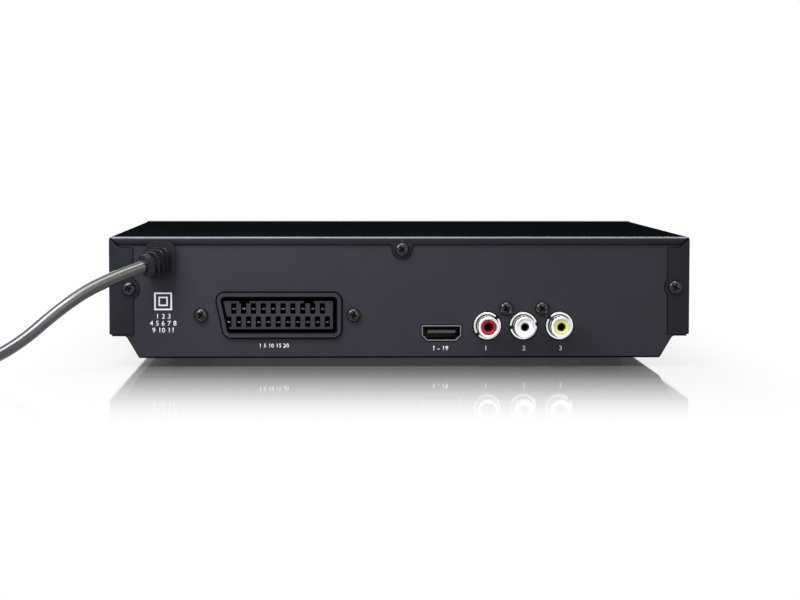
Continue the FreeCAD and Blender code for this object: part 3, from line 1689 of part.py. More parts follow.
def make_loader_frame():
    """Moulded tub: floor with the traverse's opening, walls, tray runners, posts and lugs."""
    body = new_body("loader_frame")
    left, right = cell.loader_left, cell.loader_right
    across = (left, right)
    along = (cell.loader_front, cell.loader_rear)
    wall = cell.loader_sheet
    under = height(cell.loader_floor)
    floor = under + wall
    extrude(body, "Floor", "z", under, floor, [rectangle(across, along)])
    sides = [rectangle(ends, along) for ends in ((left, left + wall), (right - wall, right))]
    extrude(body, "SideWalls", "z", floor, height(cell.loader_top), sides)
    rear_wall = rectangle((left + wall, right - wall), (cell.loader_rear - wall, cell.loader_rear))
    extrude(body, "RearWall", "z", floor, height(cell.loader_rear_wall), [rear_wall])
    lip = rectangle((left + wall, right - wall), (cell.loader_front, cell.loader_front + wall))
    extrude(body, "FrontLip", "z", floor, height(cell.loader_lip), [lip])
    runner_top = height(cell.runner_top)
    shelf = wall + cell.runner_inset
    shelf_ends = ((left + wall, left + shelf), (right - shelf, right - wall))
    runners = [rectangle(ends, (cell.loader_front, cell.loader_rear - wall)) for ends in shelf_ends]
    extrude(body, "Runners", "z", runner_top - cell.runner_sheet, runner_top, runners)
    keeper_low = height(cell.tray_bottom) + cell.runner_gap * 2
    keepers = []
    for number in range(3):
        low = cell.loader_front + cell.keeper_length + number * 4 * cell.keeper_length
        keepers += [rectangle(ends, (low, low + cell.keeper_length)) for ends in shelf_ends]
    extrude(body, "Keepers", "z", keeper_low, keeper_low + cell.keeper_sheet, keepers)

    opening_ends = (cell.traverse_left - cell.opening_gap, cell.traverse_right + cell.opening_gap)
    slider_back = cell.traverse_front - cell.lift_plate_gap
    opening_front = slider_back - cell.lift_plate - cell.sled_gap
    opening_rear = cell.traverse_rear + cell.opening_gap / 2
    opening = rectangle(opening_ends, (opening_front, opening_rear))
    carve(body, "TraverseOpening", "z", under, floor, [opening])
    reach = cell.sled_gear_module * cell.sled_gear_teeth / 2 + 4 * cell.sled_gap
    notch_y = (cell.sled_gear_y - reach - cell.opening_gap, cell.sled_gear_y + reach + cell.opening_gap)
    notch = rectangle((cell.sled_gear_x - reach, opening_ends[0]), notch_y)
    carve(body, "GearNotch", "z", under, floor, [notch])
    motor_x, motor_y = loading_motor_place()
    holes = [circle(x, y, cell.screw_hole) for x, y in loader_posts()]
    holes.append(circle(motor_x, motor_y, cell.motor_boss_radius + cell.gear_clearance))
    carve(body, "FloorHoles", "z", under, floor, holes)

    post_top = height(cell.gear_top) + cell.gear_clearance
    posts = [circle(x, y, cell.gear_post_radius) for x, y in (tray_gear_place(), pulley_gear_place())]
    extrude(body, "GearPosts", "z", floor, post_top, posts)
    pin = cell.pivot_radius + cell.pivot_clearance
    lug_y = (cell.pivot_y - cell.lug_thickness, cell.pivot_y + cell.lug_thickness)
    lugs = []
    for ends in (
        (opening_ends[0] - cell.lug_thickness, opening_ends[0]),
        (opening_ends[1], opening_ends[1] + cell.lug_thickness),
    ):
        lugs.append(rectangle(ends, lug_y))
    extrude(body, "PivotLugs", "z", floor, height(cell.lug_top), lugs)
    far = (opening_ends[0] - cell.lug_thickness, opening_ends[1] + cell.lug_thickness)
    carve(body, "PivotHoles", "x", *far, [circle(cell.pivot_y, height(cell.pivot_height), pin)])

    flange_front = slider_back - cell.lift_plate - cell.lift_flange
    hook_back = flange_front - cell.tray_flange / 10
    hook_top = floor + 2 * cell.runner_gap + cell.lift_flange_sheet
    hook_ends = []
    for x in (cell.hook_left_x, cell.hook_right_x):
        hook_ends.append((x - cell.hook_width / 2, x + cell.hook_width / 2))
    stems = [rectangle(ends, (hook_back - cell.lift_flange_sheet, hook_back)) for ends in hook_ends]
    extrude(body, "HookStems", "z", floor, hook_top + cell.lift_flange_sheet, stems)
    lips = [rectangle(ends, (hook_back, flange_front + cell.lug_thickness / 2)) for ends in hook_ends]
    extrude(body, "HookLips", "z", hook_top, hook_top + cell.lift_flange_sheet, lips)
    node("loader_frame", body)


def make_disc_tray():
    """Tray with a recess for each size of disc, side flanges and a toothed rack underneath."""
    body = new_body("disc_tray")
    under, upper = height(cell.tray_bottom), height(cell.tray_top)
    ends = (cell.disc_x - cell.tray_half, cell.disc_x + cell.tray_half)
    along = (front + cell.door_sheet, cell.tray_rear)
    extrude(body, "Slab", "z", under, upper, [rectangle(ends, along, cell.tray_corner)])
    flange_top = under + cell.runner_gap
    flanges = []
    for low, high in mirrored_ends(-cell.tray_half - cell.tray_flange, cell.tray_flange - cell.tray_half):
        flanges.append(rectangle((low, high), (along[0] + cell.tray_corner, along[1] - cell.tray_corner)))
    extrude(body, "Flanges", "z", flange_top - cell.tray_flange_sheet, flange_top, flanges)
    reach = (cell.gear_line_y - cell.rack_margin, cell.gear_line_y + cell.tray_travel + cell.rack_margin)
    rack_low = height(cell.rack_bottom)
    root = cell.rack_x - DEDENDUM * cell.rack_module
    rib = rectangle((cell.rack_x - cell.rack_back, root), reach)
    extrude(body, "RackRib", "z", rack_low, under, [rib])
    rack_teeth(body, cell.rack_module, cell.rack_x, 1, cell.gear_line_y, reach, rack_low, under)
    seat = height(cell.recess_floor)
    middle = (cell.disc_x, cell.disc_y)
    carve(body, "DiscRecess", "z", upper, seat, [circle(*middle, cell.disc_radius + cell.recess_gap)])
    small = [circle(*middle, cell.small_disc_radius)]
    carve(body, "SmallRecess", "z", seat, seat - cell.small_disc_step, small)
    carve(body, "HubOpening", "z", upper, under, [circle(*middle, cell.tray_slot_half)])
    slot = (cell.disc_x - cell.tray_slot_half, cell.disc_x + cell.tray_slot_half)
    carve(body, "HeadSlot", "z", upper, under, [rectangle(slot, (cell.disc_y, cell.tray_rear))])
    node("disc_tray", body)


def make_tray_door():
    body = new_body("tray_door")
    extrude(body, "Plate", "y", front, front + cell.door_sheet, [rectangle(*door_range(sized(0)))])
    round_edges(body, "FrontEdges", cell.door_round, lambda middle, direction: near(middle.y, front))
    node("tray_door", body)


def place_body(body, x, y):
    """Stands a body that is drawn round its own axis at its place."""
    place(body, x, y, 0)


def grooved(body, name, radius, start, end):
    """Pads a belt pulley with a groove between its two rims."""
    wall = cell.groove_wall
    extrude(body, f"{name}Pulley", "z", start, end, [circle(0, 0, radius)])
    ring = [circle(0, 0, radius), circle(0, 0, radius - cell.groove_depth)]
    carve(body, f"{name}Groove", "z", start + wall, end - wall, ring)


def make_gears():
    """The belt pulley with its pinion, the tray's gear and the motor's pulley."""
    floor = height(cell.loader_floor + cell.loader_sheet) + cell.gear_clearance
    low, high = height(cell.gear_bottom), height(cell.gear_top)
    body = new_body("tray_gear")
    toothed(body, cell.rack_module, cell.tray_gear_teeth, low, high, 0)
    extrude(body, "Hub", "z", floor, low, [circle(0, 0, cell.gear_hub_radius)])
    carve(body, "Bore", "z", high, floor, [circle(0, 0, cell.gear_bore)])
    place_body(body, *tray_gear_place())
    node("tray_gear", body)

    body = new_body("pulley_gear")
    start, end = height(cell.pulley_bottom), height(cell.pulley_top)
    grooved(body, "Belt", cell.pulley_radius, start, end)
    extrude(body, "Hub", "z", floor, low, [circle(0, 0, cell.gear_hub_radius)])
    toothed(body, cell.rack_module, cell.pinion_teeth, low, high, 180 / cell.pinion_teeth.number)
    carve(body, "Bore", "z", high, floor, [circle(0, 0, cell.gear_bore)])
    place_body(body, *pulley_gear_place())
    node("pulley_gear", body)

    body = new_body("motor_pulley")
    grooved(body, "Belt", cell.motor_pulley_radius, start, end)
    bore = cell.motor_shaft_radius + cell.shaft_clearance
    carve(body, "Bore", "z", end, start, [circle(0, 0, bore)])
    place_body(body, *loading_motor_place())
    node("motor_pulley", body)


def make_loading_drive():
    """Motor under the loader's floor and the belt round the two pulleys."""
    x, y = loading_motor_place()
    top_face = height(cell.loader_floor)
    boss_top = top_face + cell.loader_sheet
    can_low = top_face - cell.loading_motor_length
    can = cylinder("motor_can", "z", (x, y), cell.loading_motor_radius, can_low, top_face)
    boss = cylinder("motor_boss", "z", (x, y), cell.motor_boss_radius, top_face, boss_top)
    shaft = cylinder("motor_shaft", "z", (x, y), cell.motor_shaft_radius, boss_top, height(cell.pulley_top))
    node("loading_motor", fuse("loading_motor", [can, boss, shaft]))

    body = new_body("loading_belt")
    middle = height((cell.pulley_bottom + cell.pulley_top) / 2)
    thick = cell.belt_sheet / 2
    big = cell.pulley_radius - cell.groove_depth + cell.shaft_clearance
    small = cell.motor_pulley_radius - cell.groove_depth + cell.shaft_clearance
    outlines = []
    for grow in (2 * thick, sized(0)):
        outlines.append(loop(pulley_gear_place(), big + grow, loading_motor_place(), small + grow))
    extrude(body, "Band", "z", middle - thick, middle + thick, outlines)
    node("loading_belt", body)


def make_clamp():
    """Bridge across the loader with the free-turning clamper that presses on the disc."""
    body = new_body("clamp_bridge")
    low = height(cell.loader_top)
    high = low + cell.bridge_sheet
    hook = cell.bridge_sheet
    left, right = cell.loader_left - cell.seam_gap, cell.loader_right + cell.seam_gap
    along = (cell.disc_y - cell.bridge_half, cell.disc_y + cell.bridge_half)
    hole = circle(cell.disc_x, cell.disc_y, cell.bridge_hole)
    extrude(body, "Sheet", "z", low, high, [rectangle((left - hook, right + hook), along), hole])
    hooks = [rectangle(ends, along) for ends in ((left - hook, left), (right, right + hook))]
    extrude(body, "Hooks", "z", low - cell.bridge_hook, low, hooks)
    node("clamp_bridge", body)

    body = new_body("disc_clamper")
    under = height(cell.clamper_bottom)
    plate_top = under + cell.clamper_sheet
    flange_low = high + cell.clamper_gap
    middle = (cell.disc_x, cell.disc_y)
    extrude(body, "Plate", "z", under, plate_top, [circle(*middle, cell.clamper_radius)])
    extrude(body, "Neck", "z", plate_top, flange_low, [circle(*middle, cell.clamper_neck_radius)])
    flange = [circle(*middle, cell.clamper_flange_radius)]
    extrude(body, "Flange", "z", flange_low, flange_low + cell.clamper_flange_sheet, flange)
    recess = [circle(*middle, cell.clamper_recess_radius)]
    carve(body, "Recess", "z", under, height(cell.clamper_recess_top), recess)
    node("disc_clamper", body)


# Traverse


def make_traverse_frame():
    """Swinging frame of the drive: pivots at its back, lift pins at its front, rod seats."""
    body = new_body("traverse_frame")
    left, right = cell.traverse_left, cell.traverse_right
    low, high = height(cell.traverse_bottom), height(cell.traverse_top)
    along = (cell.traverse_front, cell.traverse_rear)
    extrude(body, "Plate", "z", low, high, [rectangle((left, right), along, cell.tray_corner)])
    opening_x = (cell.sled_opening_left, cell.sled_opening_right)
    opening_y = (cell.sled_opening_front, cell.sled_opening_rear)
    carve(body, "SledOpening", "z", low, high, [rectangle(opening_x, opening_y)])
    pivot_z = height(cell.pivot_height)
    pin = [circle(cell.pivot_y, pivot_z, cell.pivot_radius)]
    reach = cell.opening_gap + cell.lug_thickness * 0.75
    extrude(body, "LeftPivot", "x", left, left - reach, pin)
    extrude(body, "RightPivot", "x", right, right + reach, pin)
    lift_end = cell.traverse_front - cell.lift_plate_gap - cell.lift_plate + cell.runner_gap
    lift = [circle(x, pivot_z, cell.lift_pin_radius) for x in (cell.lift_pin_left, cell.lift_pin_right)]
    extrude(body, "LiftPins", "y", cell.traverse_front, lift_end, lift)
    seats = [circle(x, pivot_z, cell.rod_radius + cell.rod_fit) for x in (cell.rod_left, cell.rod_right)]
    carve(body, "FrontRodSeats", "y", cell.sled_opening_front, cell.rod_front, seats)
    carve(body, "RearRodSeats", "y", cell.sled_opening_rear, cell.rod_rear, seats)
    posts = []
    for side in (-1, 1):
        y = cell.sled_gear_y + side * cell.sled_post_offset
        posts.append(circle(cell.sled_gear_x, y, cell.sled_post_radius))
    extrude(body, "MotorPosts", "z", low, height(cell.sled_motor_top), posts)
    node("traverse_frame", body)


def make_spindle():
    """Flat motor with its shaft, and the turntable that centres and carries the disc."""
    middle = (cell.disc_x, cell.disc_y)
    base = height(cell.traverse_top)
    top_face = height(cell.spindle_top)
    can = cylinder("spindle_can", "z", middle, cell.spindle_radius, base, top_face)
    shaft_top = height(cell.turntable_top)
    shaft = cylinder("spindle_shaft", "z", middle, cell.motor_shaft_radius, top_face, shaft_top)
    node("spindle_motor", fuse("spindle_motor", [can, shaft]))
    low, seat = height(cell.turntable_bottom), height(cell.turntable_seat)
    plate = cylinder("turntable_plate", "z", middle, cell.turntable_radius, low, seat)
    radii = (cell.cone_radius, cell.cone_top_radius)
    centring = cone("turntable_cone", "z", middle, radii, seat, shaft_top)
    bore_radius = cell.motor_shaft_radius + cell.shaft_clearance
    bore = cylinder("turntable_bore", "z", middle, bore_radius, low, shaft_top)
    node("turntable", cut("turntable", fuse("turntable_solid", [plate, centring]), [bore]))


def make_guide_rods():
    level = height(cell.pivot_height)
    rods = []
    for x in (cell.rod_left, cell.rod_right):
        rods.append(cylinder("guide_rod", "y", (x, level), cell.rod_radius, cell.rod_front, cell.rod_rear))
    node("guide_rods", group("guide_rods", rods))


def sled_rack_line():
    return cell.sled_gear_x + cell.sled_gear_module * cell.sled_gear_teeth / 2


def make_pickup():
    """Sled on its two rods with a rack underneath, and the lens on its guide pin."""
    body = new_body("pickup_sled")
    ends = (cell.sled_opening_left + cell.sled_gap, cell.sled_opening_right - cell.sled_gap)
    along = (cell.sled_front, cell.sled_rear)
    low, high = height(cell.sled_bottom), height(cell.sled_top)
    extrude(body, "Block", "z", low, high, [rectangle(ends, along)])
    tower_x = (cell.disc_x - cell.tower_half, cell.disc_x + cell.tower_half)
    tower = rectangle(tower_x, (cell.tower_front, cell.tower_rear), cell.corner_round)
    tower_top = height(cell.tower_top)
    extrude(body, "Tower", "z", high, tower_top, [tower])
    pin_y = cell.lens_y + cell.lens_pin_offset
    pin_top = height(cell.lens_holder_top) + cell.lens_travel
    extrude(body, "LensPin", "z", tower_top, pin_top, [circle(cell.disc_x, pin_y, cell.lens_pin_radius)])
    line = sled_rack_line()
    module = cell.sled_gear_module
    rack_front = cell.sled_gear_y - cell.sled_travel - cell.sled_rack_margin
    reach = (rack_front, cell.sled_gear_y + cell.sled_rack_margin)
    root = line + DEDENDUM * module
    rib = rectangle((root, line + cell.sled_rack_back), reach)
    gear_low = height(cell.sled_gear_bottom) - cell.lift_slot_gap
    gear_high = height(cell.sled_gear_top) + cell.lift_slot_gap
    extrude(body, "RackRib", "z", gear_low, low, [rib])
    rack_teeth(body, module, line, -1, cell.sled_gear_y, reach, gear_low, gear_high)
    level = height(cell.pivot_height)
    bore = cell.rod_radius + cell.rod_clearance
    bores = [circle(x, level, bore) for x in (cell.rod_left, cell.rod_right)]
    carve(body, "RodBores", "y", cell.sled_rear, cell.sled_front, bores)
    node("pickup_sled", body)

    body = new_body("pickup_lens")
    low, high = height(cell.lens_holder_bottom), height(cell.lens_holder_top)
    wide = (cell.disc_x - cell.lens_holder_half, cell.disc_x + cell.lens_holder_half)
    holder = (cell.lens_y - cell.lens_holder_half, pin_y + cell.lens_radius)
    extrude(body, "Holder", "z", low, high, [rectangle(wide, holder, cell.corner_round)])
    glass = circle(cell.disc_x, cell.lens_y, cell.lens_radius)
    extrude(body, "Lens", "z", high, height(cell.lens_top), [glass])
    bore = [circle(cell.disc_x, pin_y, cell.lens_pin_radius + cell.shaft_clearance)]
    carve(body, "PinBore", "z", high, low, bore)
    node("pickup_lens", body)


def make_sled_drive():
    """Motor hung from two posts under the traverse, with its gear on the sled's rack."""
    x, y = cell.sled_gear_x, cell.sled_gear_y
    flange_low, flange_high = height(cell.sled_motor_flange), height(cell.sled_motor_top)
    can_low = height(cell.sled_motor_bottom)
    can = cylinder("sled_can", "z", (x, y), cell.sled_motor_radius, can_low, flange_low)
    wide = 4 * cell.sled_post_radius
    long = 2 * cell.sled_motor_ear
    flange = block("sled_flange", (x, y), wide, long, flange_low, flange_high - flange_low)
    shaft_top = height(cell.sled_gear_top)
    shaft = cylinder("sled_shaft", "z", (x, y), cell.motor_shaft_radius, flange_high, shaft_top)
    node("sled_motor", fuse("sled_motor", [can, flange, shaft]))

    body = new_body("sled_gear")
    low, high = height(cell.sled_gear_bottom), height(cell.sled_gear_top)
    toothed(body, cell.sled_gear_module, cell.sled_gear_teeth, low, high, 0)
    bore = cell.motor_shaft_radius + cell.shaft_clearance
    carve(body, "Bore", "z", high, low, [circle(0, 0, bore)])
    place_body(body, x, y)
    node("sled_gear", body)


def make_lift_slider():
    """Sliding cam plate whose two slanted slots carry the traverse's pins up and down."""
    body = new_body("lift_slider")
    back_face = cell.traverse_front - cell.lift_plate_gap
    front_face = back_face - cell.lift_plate
    ends = (cell.lift_left, cell.lift_right)
    upright = (height(cell.lift_bottom), height(cell.lift_top))
    extrude(body, "CamPlate", "y", front_face, back_face, [rectangle(ends, upright)])
    arm = cell.pivot_y - (front_face + back_face) / 2
    drop = arm * sine(cell.tilt_angle)
    level = height(cell.pivot_height)
    slots = []
    for x in (cell.lift_pin_left, cell.lift_pin_right):
        radius = cell.lift_pin_radius + cell.lift_slot_gap
        slots.append(loop((x, level), radius, (x + cell.lift_travel, level - drop), radius))
    carve(body, "CamSlots", "y", front_face, back_face, slots)
    flange_low = height(cell.loader_floor + cell.loader_sheet) + cell.runner_gap
    flange = rectangle(ends, (front_face - cell.lift_flange, front_face))
    extrude(body, "Flange", "z", flange_low, flange_low + cell.lift_flange_sheet, [flange])
    node("lift_slider", body)


# Mains cord


def vector(x, y, z):
    return FreeCAD.Vector(sized(x).number, sized(y).number, sized(z).number)


def unit(direction):
    return direction * (1 / direction.Length)


def bow_between(start, heading, end):
    """The arc from one point to another that leaves with a heading."""
    chord = end - start
    along = unit(chord)
    aside = heading - along * heading.dot(along)
    if aside.Length < 1e-6:
        return Part.LineSegment(start, end).toShape()
    half_turn = math.atan2(aside.Length, heading.dot(along))
    rise = chord.Length / 2 * math.tan(half_turn / 2)
    middle = (start + end) * 0.5 + unit(aside) * rise
    return Part.Arc(start, middle, end).toShape()


def joined_arcs(start, start_heading, end, end_heading):
    """Two arcs that meet smoothly between two points with given headings."""
    gap = end - start
    both = start_heading + end_heading
    bend = 2 * (1 - start_heading.dot(end_heading))
    along = gap.dot(both)
    if bend < 1e-9:
        reach = gap.dot(gap) / (2 * along)
    else:
        reach = (math.sqrt(along * along + bend * gap.dot(gap)) - along) / bend
    joint = (start + end + (start_heading - end_heading) * reach) * 0.5
    last = bow_between(end, end_heading * -1, joint)
    middle = last.valueAt((last.FirstParameter + last.LastParameter) / 2)
    return [bow_between(start, start_heading, joint), Part.Arc(joint, middle, end).toShape()]


def rounded_route(points):
    """Straight runs through points, with an arc at each corner."""
    edges = []
    start = points[0]
    for number in range(1, len(points) - 1):
        corner = points[number]
        before = corner - points[number - 1]
        after = points[number + 1] - corner
        turn = before.getAngle(after)
        short = 0.45 * min(before.Length, after.Length)
        leave = corner - unit(before) * short
        back_on = corner + unit(after) * short
        edges.append(Part.LineSegment(start, leave).toShape())
        middle_way = unit(unit(after) - unit(before))
        radius = short / math.tan(turn / 2)
        middle = corner + middle_way * (radius / math.cos(turn / 2) - radius)
        edges.append(Part.Arc(leave, middle, back_on).toShape())
        start = back_on
    edges.append(Part.LineSegment(start, points[-1]).toShape())
    return edges


def tube(edges, radius):
    """A round cord along a path of edges."""
    path = Part.Wire(edges)
    first = path.OrderedEdges[0]
    start = path.OrderedVertexes[0].Point
    heading = first.tangentAt(first.FirstParameter)
    profile = Part.Wire([Part.makeCircle(sized(radius).number, start, heading)])
    return path.makePipeShell([profile], True, False)


def coil_turns():
    """Turns in a layer, turns of the climb and turns in all."""
    swept = (cell.coil_in_angle.number - cell.coil_out_angle.number) / 360
    turns = cell.coil_whole_turns.number + swept
    climb = 0.5
    return (turns - climb) / 2, climb, turns


def coil_point(turn):
    """The middle of the cord after so many turns, running clockwise: in, up and out again."""
    layer, climb, _ = coil_turns()
    pitch = cell.coil_turn_pitch.number
    inner = cell.coil_radius.number - pitch * layer / 2
    rise = cell.coil_layer_rise.number
    low = cell.coil_lift.number + cell.cord_diameter.number / 2
    if turn <= layer:
        radius, z = inner + pitch * (layer - turn), low
    elif turn < layer + climb:
        share = (turn - layer) / climb
        radius = inner - cell.coil_climb_pinch.number * math.sin(math.pi * share)
        z = low + rise * (share - math.sin(2 * math.pi * share) / (2 * math.pi))
    else:
        radius, z = inner + pitch * (turn - layer - climb), low + rise
    angle = math.radians(cell.coil_in_angle.number - 360 * turn)
    x = cell.coil_x.number + radius * math.cos(angle)
    y = cell.coil_y.number + radius * math.sin(angle)
    return vector(x, y, z)


def coil_heading(turn):
    step = 1e-4
    return unit(coil_point(turn + step) - coil_point(turn - step))


def coil_ends():
    """Where the coil starts and ends, one cord's diameter before and after its turns."""
    turns = coil_turns()[2]
    straight = cell.cord_diameter.number
    first, last = coil_heading(0), coil_heading(turns)
    return coil_point(0) - first * straight, first, coil_point(turns) + last * straight, last


def coil_edges():
    layer, climb, turns = coil_turns()
    stops = [layer * number / 14 for number in range(14)]
    stops += [layer + climb * number / 4 for number in range(4)]
    stops += [layer + climb + layer * number / 14 for number in range(15)]
    start, _, end, _ = coil_ends()
    edges = [Part.LineSegment(start, coil_point(0)).toShape()]
    for low, high in zip(stops, stops[1:]):
        edges += joined_arcs(coil_point(low), coil_heading(low), coil_point(high), coil_heading(high))
    edges.append(Part.LineSegment(coil_point(turns), end).toShape())
    return edges


def least_coil_gap():
    """The least gap between turns that aren't the same stretch of cord."""
    turns = coil_turns()[2]
    per_turn = 72
    points = [coil_point(number / per_turn) for number in range(int(turns * per_turn))]
    least = math.inf
    for number, point in enumerate(points):
        for other in points[number + per_turn // 2:]:
            least = min(least, point.distanceToPoint(other))
    return least - cell.cord_diameter.number


def boot_path():
    """Start, its heading, end and its heading of the bend in the strain relief."""
    flange_face = back + cell.cover_sheet + cell.grommet_stand_off - cell.seam_gap + cell.grommet_sheet
    start = vector(cell.grommet_x, flange_face, height(cell.grommet_height))
    end = vector(cell.boot_exit_x, cell.boot_exit_y, height(cell.boot_exit_height))
    heading = FreeCAD.Vector(0, 1, 0)
    chord = unit(end - start)
    return start, heading, end, chord * (2 * chord.dot(heading)) - heading


def boot_slab(arc, reach, thick, share):
    """A rounded slab that ends at a length of the strain relief's bend; share tapers it."""
    at = arc.getParameterByLength(reach)
    first, last = cell.boot_first_half_width.number, cell.boot_last_half_width.number
    wide = first + (last - first) * share
    first, last = cell.boot_first_half_tall.number, cell.boot_last_half_tall.number
    tall = first + (last - first) * share
    slab = Part.makeBox(thick, 2 * wide, 2 * tall, FreeCAD.Vector(-thick, -wide, -tall))
    corners = [edge for edge in slab.Edges if abs(edge.tangentAt(edge.FirstParameter).x) > 0.9]
    slab = slab.makeFillet(min(cell.boot_corner.number, 0.9 * wide, 0.9 * tall), corners)
    upright = FreeCAD.Vector(0, 0, 1)
    turn = FreeCAD.Rotation(arc.tangentAt(at), FreeCAD.Vector(), upright, "XZY")
    slab.Placement = FreeCAD.Placement(arc.valueAt(at), turn)
    return slab


def make_grommet():
    """Moulded strain relief: flange, neck through the panel and a finned boot that bends away."""
    x, z = cell.grommet_x, height(cell.grommet_height)
    start, heading, end, _ = boot_path()
    face = back + cell.cover_sheet + cell.grommet_stand_off - cell.seam_gap
    wide, tall = cell.grommet_width / 2, cell.grommet_tall / 2
    body = new_body("grommet_flange")
    outline = rectangle((x - wide, x + wide), (z - tall, z + tall), cell.grommet_corner)
    extrude(body, "Flange", "y", face, face + cell.grommet_sheet, [outline])
    wide, tall = cell.grommet_neck_width / 2, cell.grommet_neck_tall / 2
    inner = inside_back - cell.grommet_inner
    neck = rectangle((x - wide, x + wide), (z - tall, z + tall), cell.corner_round)
    extrude(body, "Neck", "y", inner, face, [neck])
    wide, tall = wide + cell.grommet_lip, tall + cell.grommet_lip
    lip = rectangle((x - wide, x + wide), (z - tall, z + tall), cell.corner_round)
    extrude(body, "Lip", "y", inner + cell.grommet_lip, inside_back - cell.seam_gap, [lip])

    arc = bow_between(start, heading, end)
    core = tube([arc], cell.boot_core_radius)
    collar = cell.boot_collar.number
    solids = [core, boot_slab(arc, arc.Length, collar, 1)]
    count = int(cell.boot_fins.number)
    finned = arc.Length - collar
    for number in range(count):
        reach = (number + 0.75) / count * finned
        solids.append(boot_slab(arc, reach, cell.boot_fin_sheet.number, number / count))
    shoulder = cell.boot_shoulder.number
    solids.append(Part.makeCylinder(shoulder, cell.boot_tip.number, start, heading))
    boot = shaped("cord_boot", solids[0].multiFuse(solids[1:]).removeSplitter())
    node("cord_grommet", fuse("cord_grommet", [body, boot]))


ROUTE = [
    (128.6, 126.8, 24.4),
    (141.8, 131.4, 12.6),
    (156.5, 134.2, 4.6),
    (174.0, 135.6, 3.1),
]


def plug_axis():
    """Where the plug's boot starts, and its heading over the floor."""
    _, _, end, heading = coil_ends()
    level = cell.plug_sheet.number / 2 + cell.plug_lift.number
    start = end + heading * cell.tail_length.number
    return vector(start.x, start.y, level), heading


def make_cord():
    """The hanging run with the tail to the plug, and the coil that lies on the floor."""
    radius = cell.cord_diameter / 2
    entry, first, end, last = coil_ends()
    _, _, out, way_out = boot_path()
    points = [out, out + way_out * cell.first_leg.number] + [vector(*point) for point in ROUTE]
    points += [entry - first * 16, entry]
    run = tube(rounded_route(points), radius)
    plug_start, heading = plug_axis()
    drop = tube(joined_arcs(end, last, plug_start, heading), radius)
    node("power_cord", group("power_cord", [shaped("hanging_run", run), shaped("tail", drop)]))
    node("cord_coil", shaped("cord_coil", tube(coil_edges(), radius)))
    print(f"least gap between turns of the coil: {least_coil_gap():.2f} mm")


def make_cord_tie():
    """Strap round the bundle of turns."""
    angle = cell.tie_angle.number
    radii = []
    heights = []
    layer, climb, turns = coil_turns()
    for number in range(int(turns * 360)):
        point = coil_point(number / 360)
        away = point - vector(cell.coil_x, cell.coil_y, 0)
        bearing = math.degrees(math.atan2(away.y, away.x)) % 360
        if abs(bearing - angle) < 12:
            radii.append(math.hypot(away.x, away.y))
            heights.append(point.z)
    radius = cell.cord_diameter.number / 2
    slack = cell.shaft_clearance.number
    thick = cell.tie_sheet.number
    deep = cell.tie_width.number
    near_side = math.sqrt((min(radii) - radius) ** 2 - deep * deep / 4) - slack
    far_side = max(radii) + radius + slack
    low, high = min(heights) - radius - slack, max(heights) + radius + slack
    outer = Part.makeBox(far_side - near_side + 2 * thick, deep, high - low + 2 * thick,
                         FreeCAD.Vector(near_side - thick, -deep / 2, low - thick))
    inner = Part.makeBox(far_side - near_side, deep, high - low, FreeCAD.Vector(near_side, -deep / 2, low))
    strap = outer.cut(inner)
    strap.Placement = FreeCAD.Placement(
        vector(cell.coil_x, cell.coil_y, 0), FreeCAD.Rotation(FreeCAD.Vector(0, 0, 1), angle)
    )
    node("cord_tie", shaped("cord_tie", strap))


def make_plug():
    """Flat two-pin plug with its boot, drawn along +X and then laid beside the coil."""
    start, heading = plug_axis()
    turn = FreeCAD.Rotation(FreeCAD.Vector(1, 0, 0), heading)
    sheet_half = cell.plug_sheet / 2
    body = new_body("mains_plug")
    boot = cell.plug_boot
    end = boot + cell.plug_body
    wide, waist = cell.plug_width / 2, cell.plug_waist / 2
    shoulder = boot + cell.plug_body / 2
    outline = [
        (boot, -waist),
        (shoulder, -wide),
        (end, -wide),
        (end, wide),
        (shoulder, wide),
        (boot, waist),
    ]
    extrude(body, "Body", "z", -sheet_half, sheet_half, [polygon(outline)])

    def is_upright(middle, direction):
        return abs(direction.z) > 0.9

    round_edges(body, "Corners", cell.plug_corner, is_upright)
    extrude(body, "Boot", "x", 0, boot, [circle(0, 0, cell.plug_boot_radius)])
    place(body, start.x, start.y, start.z, turn)
    node("mains_plug", body)
    pins = []
    for side in (-1, 1):
        across = side * cell.pin_spacing / 2
        pin = cylinder("plug_pin", "x", (across, 0), cell.pin_radius, end, end + cell.pin_length)
        pins.append(pin)
    both = group("plug_pins", pins)
    place(both, start.x, start.y, start.z, turn)
    node("plug_pins", both)


def make_mains_lead():
    """The lead inside the case, from the strain relief down to the board."""
    inner = inside_back - cell.grommet_inner
    level = height(board_top + cell.inlet_tall / 2)
    points = [
        vector(cell.grommet_x, inner, height(cell.grommet_height)),
        vector(cell.grommet_x, inner - 20, height(cell.grommet_height)),
        vector(cell.grommet_x, cell.inlet_rear + 26, level + 3),
        vector(cell.inlet_x, cell.inlet_rear + 9, level),
        vector(cell.inlet_x, cell.inlet_rear, level),
    ]
    node("mains_lead_inner", shaped("mains_lead_inner", tube(rounded_route(points), cell.lead_radius)))


def build():
    make_top_cover()
    make_chassis_pan()
    make_rear_panel()
    make_feet()
    make_screws()
    make_front_panel()
    make_window()
    make_buttons()
    make_front_board()
    make_scart_socket()
    make_hdmi_socket()
    make_jacks()
    make_boards()
    make_board_parts()
    make_capacitors()
    make_transformer()
    make_heatsink()
    make_ribbons()
    make_loader_frame()
    make_disc_tray()
    make_tray_door()
    make_gears()
    make_loading_drive()
    make_clamp()
    make_traverse_frame()
    make_spindle()
    make_guide_rods()
    make_pickup()
    make_sled_drive()
    make_lift_slider()
    make_grommet()
    make_cord()
    make_cord_tie()
    make_plug()
    make_mains_lead()
    document.recompute()


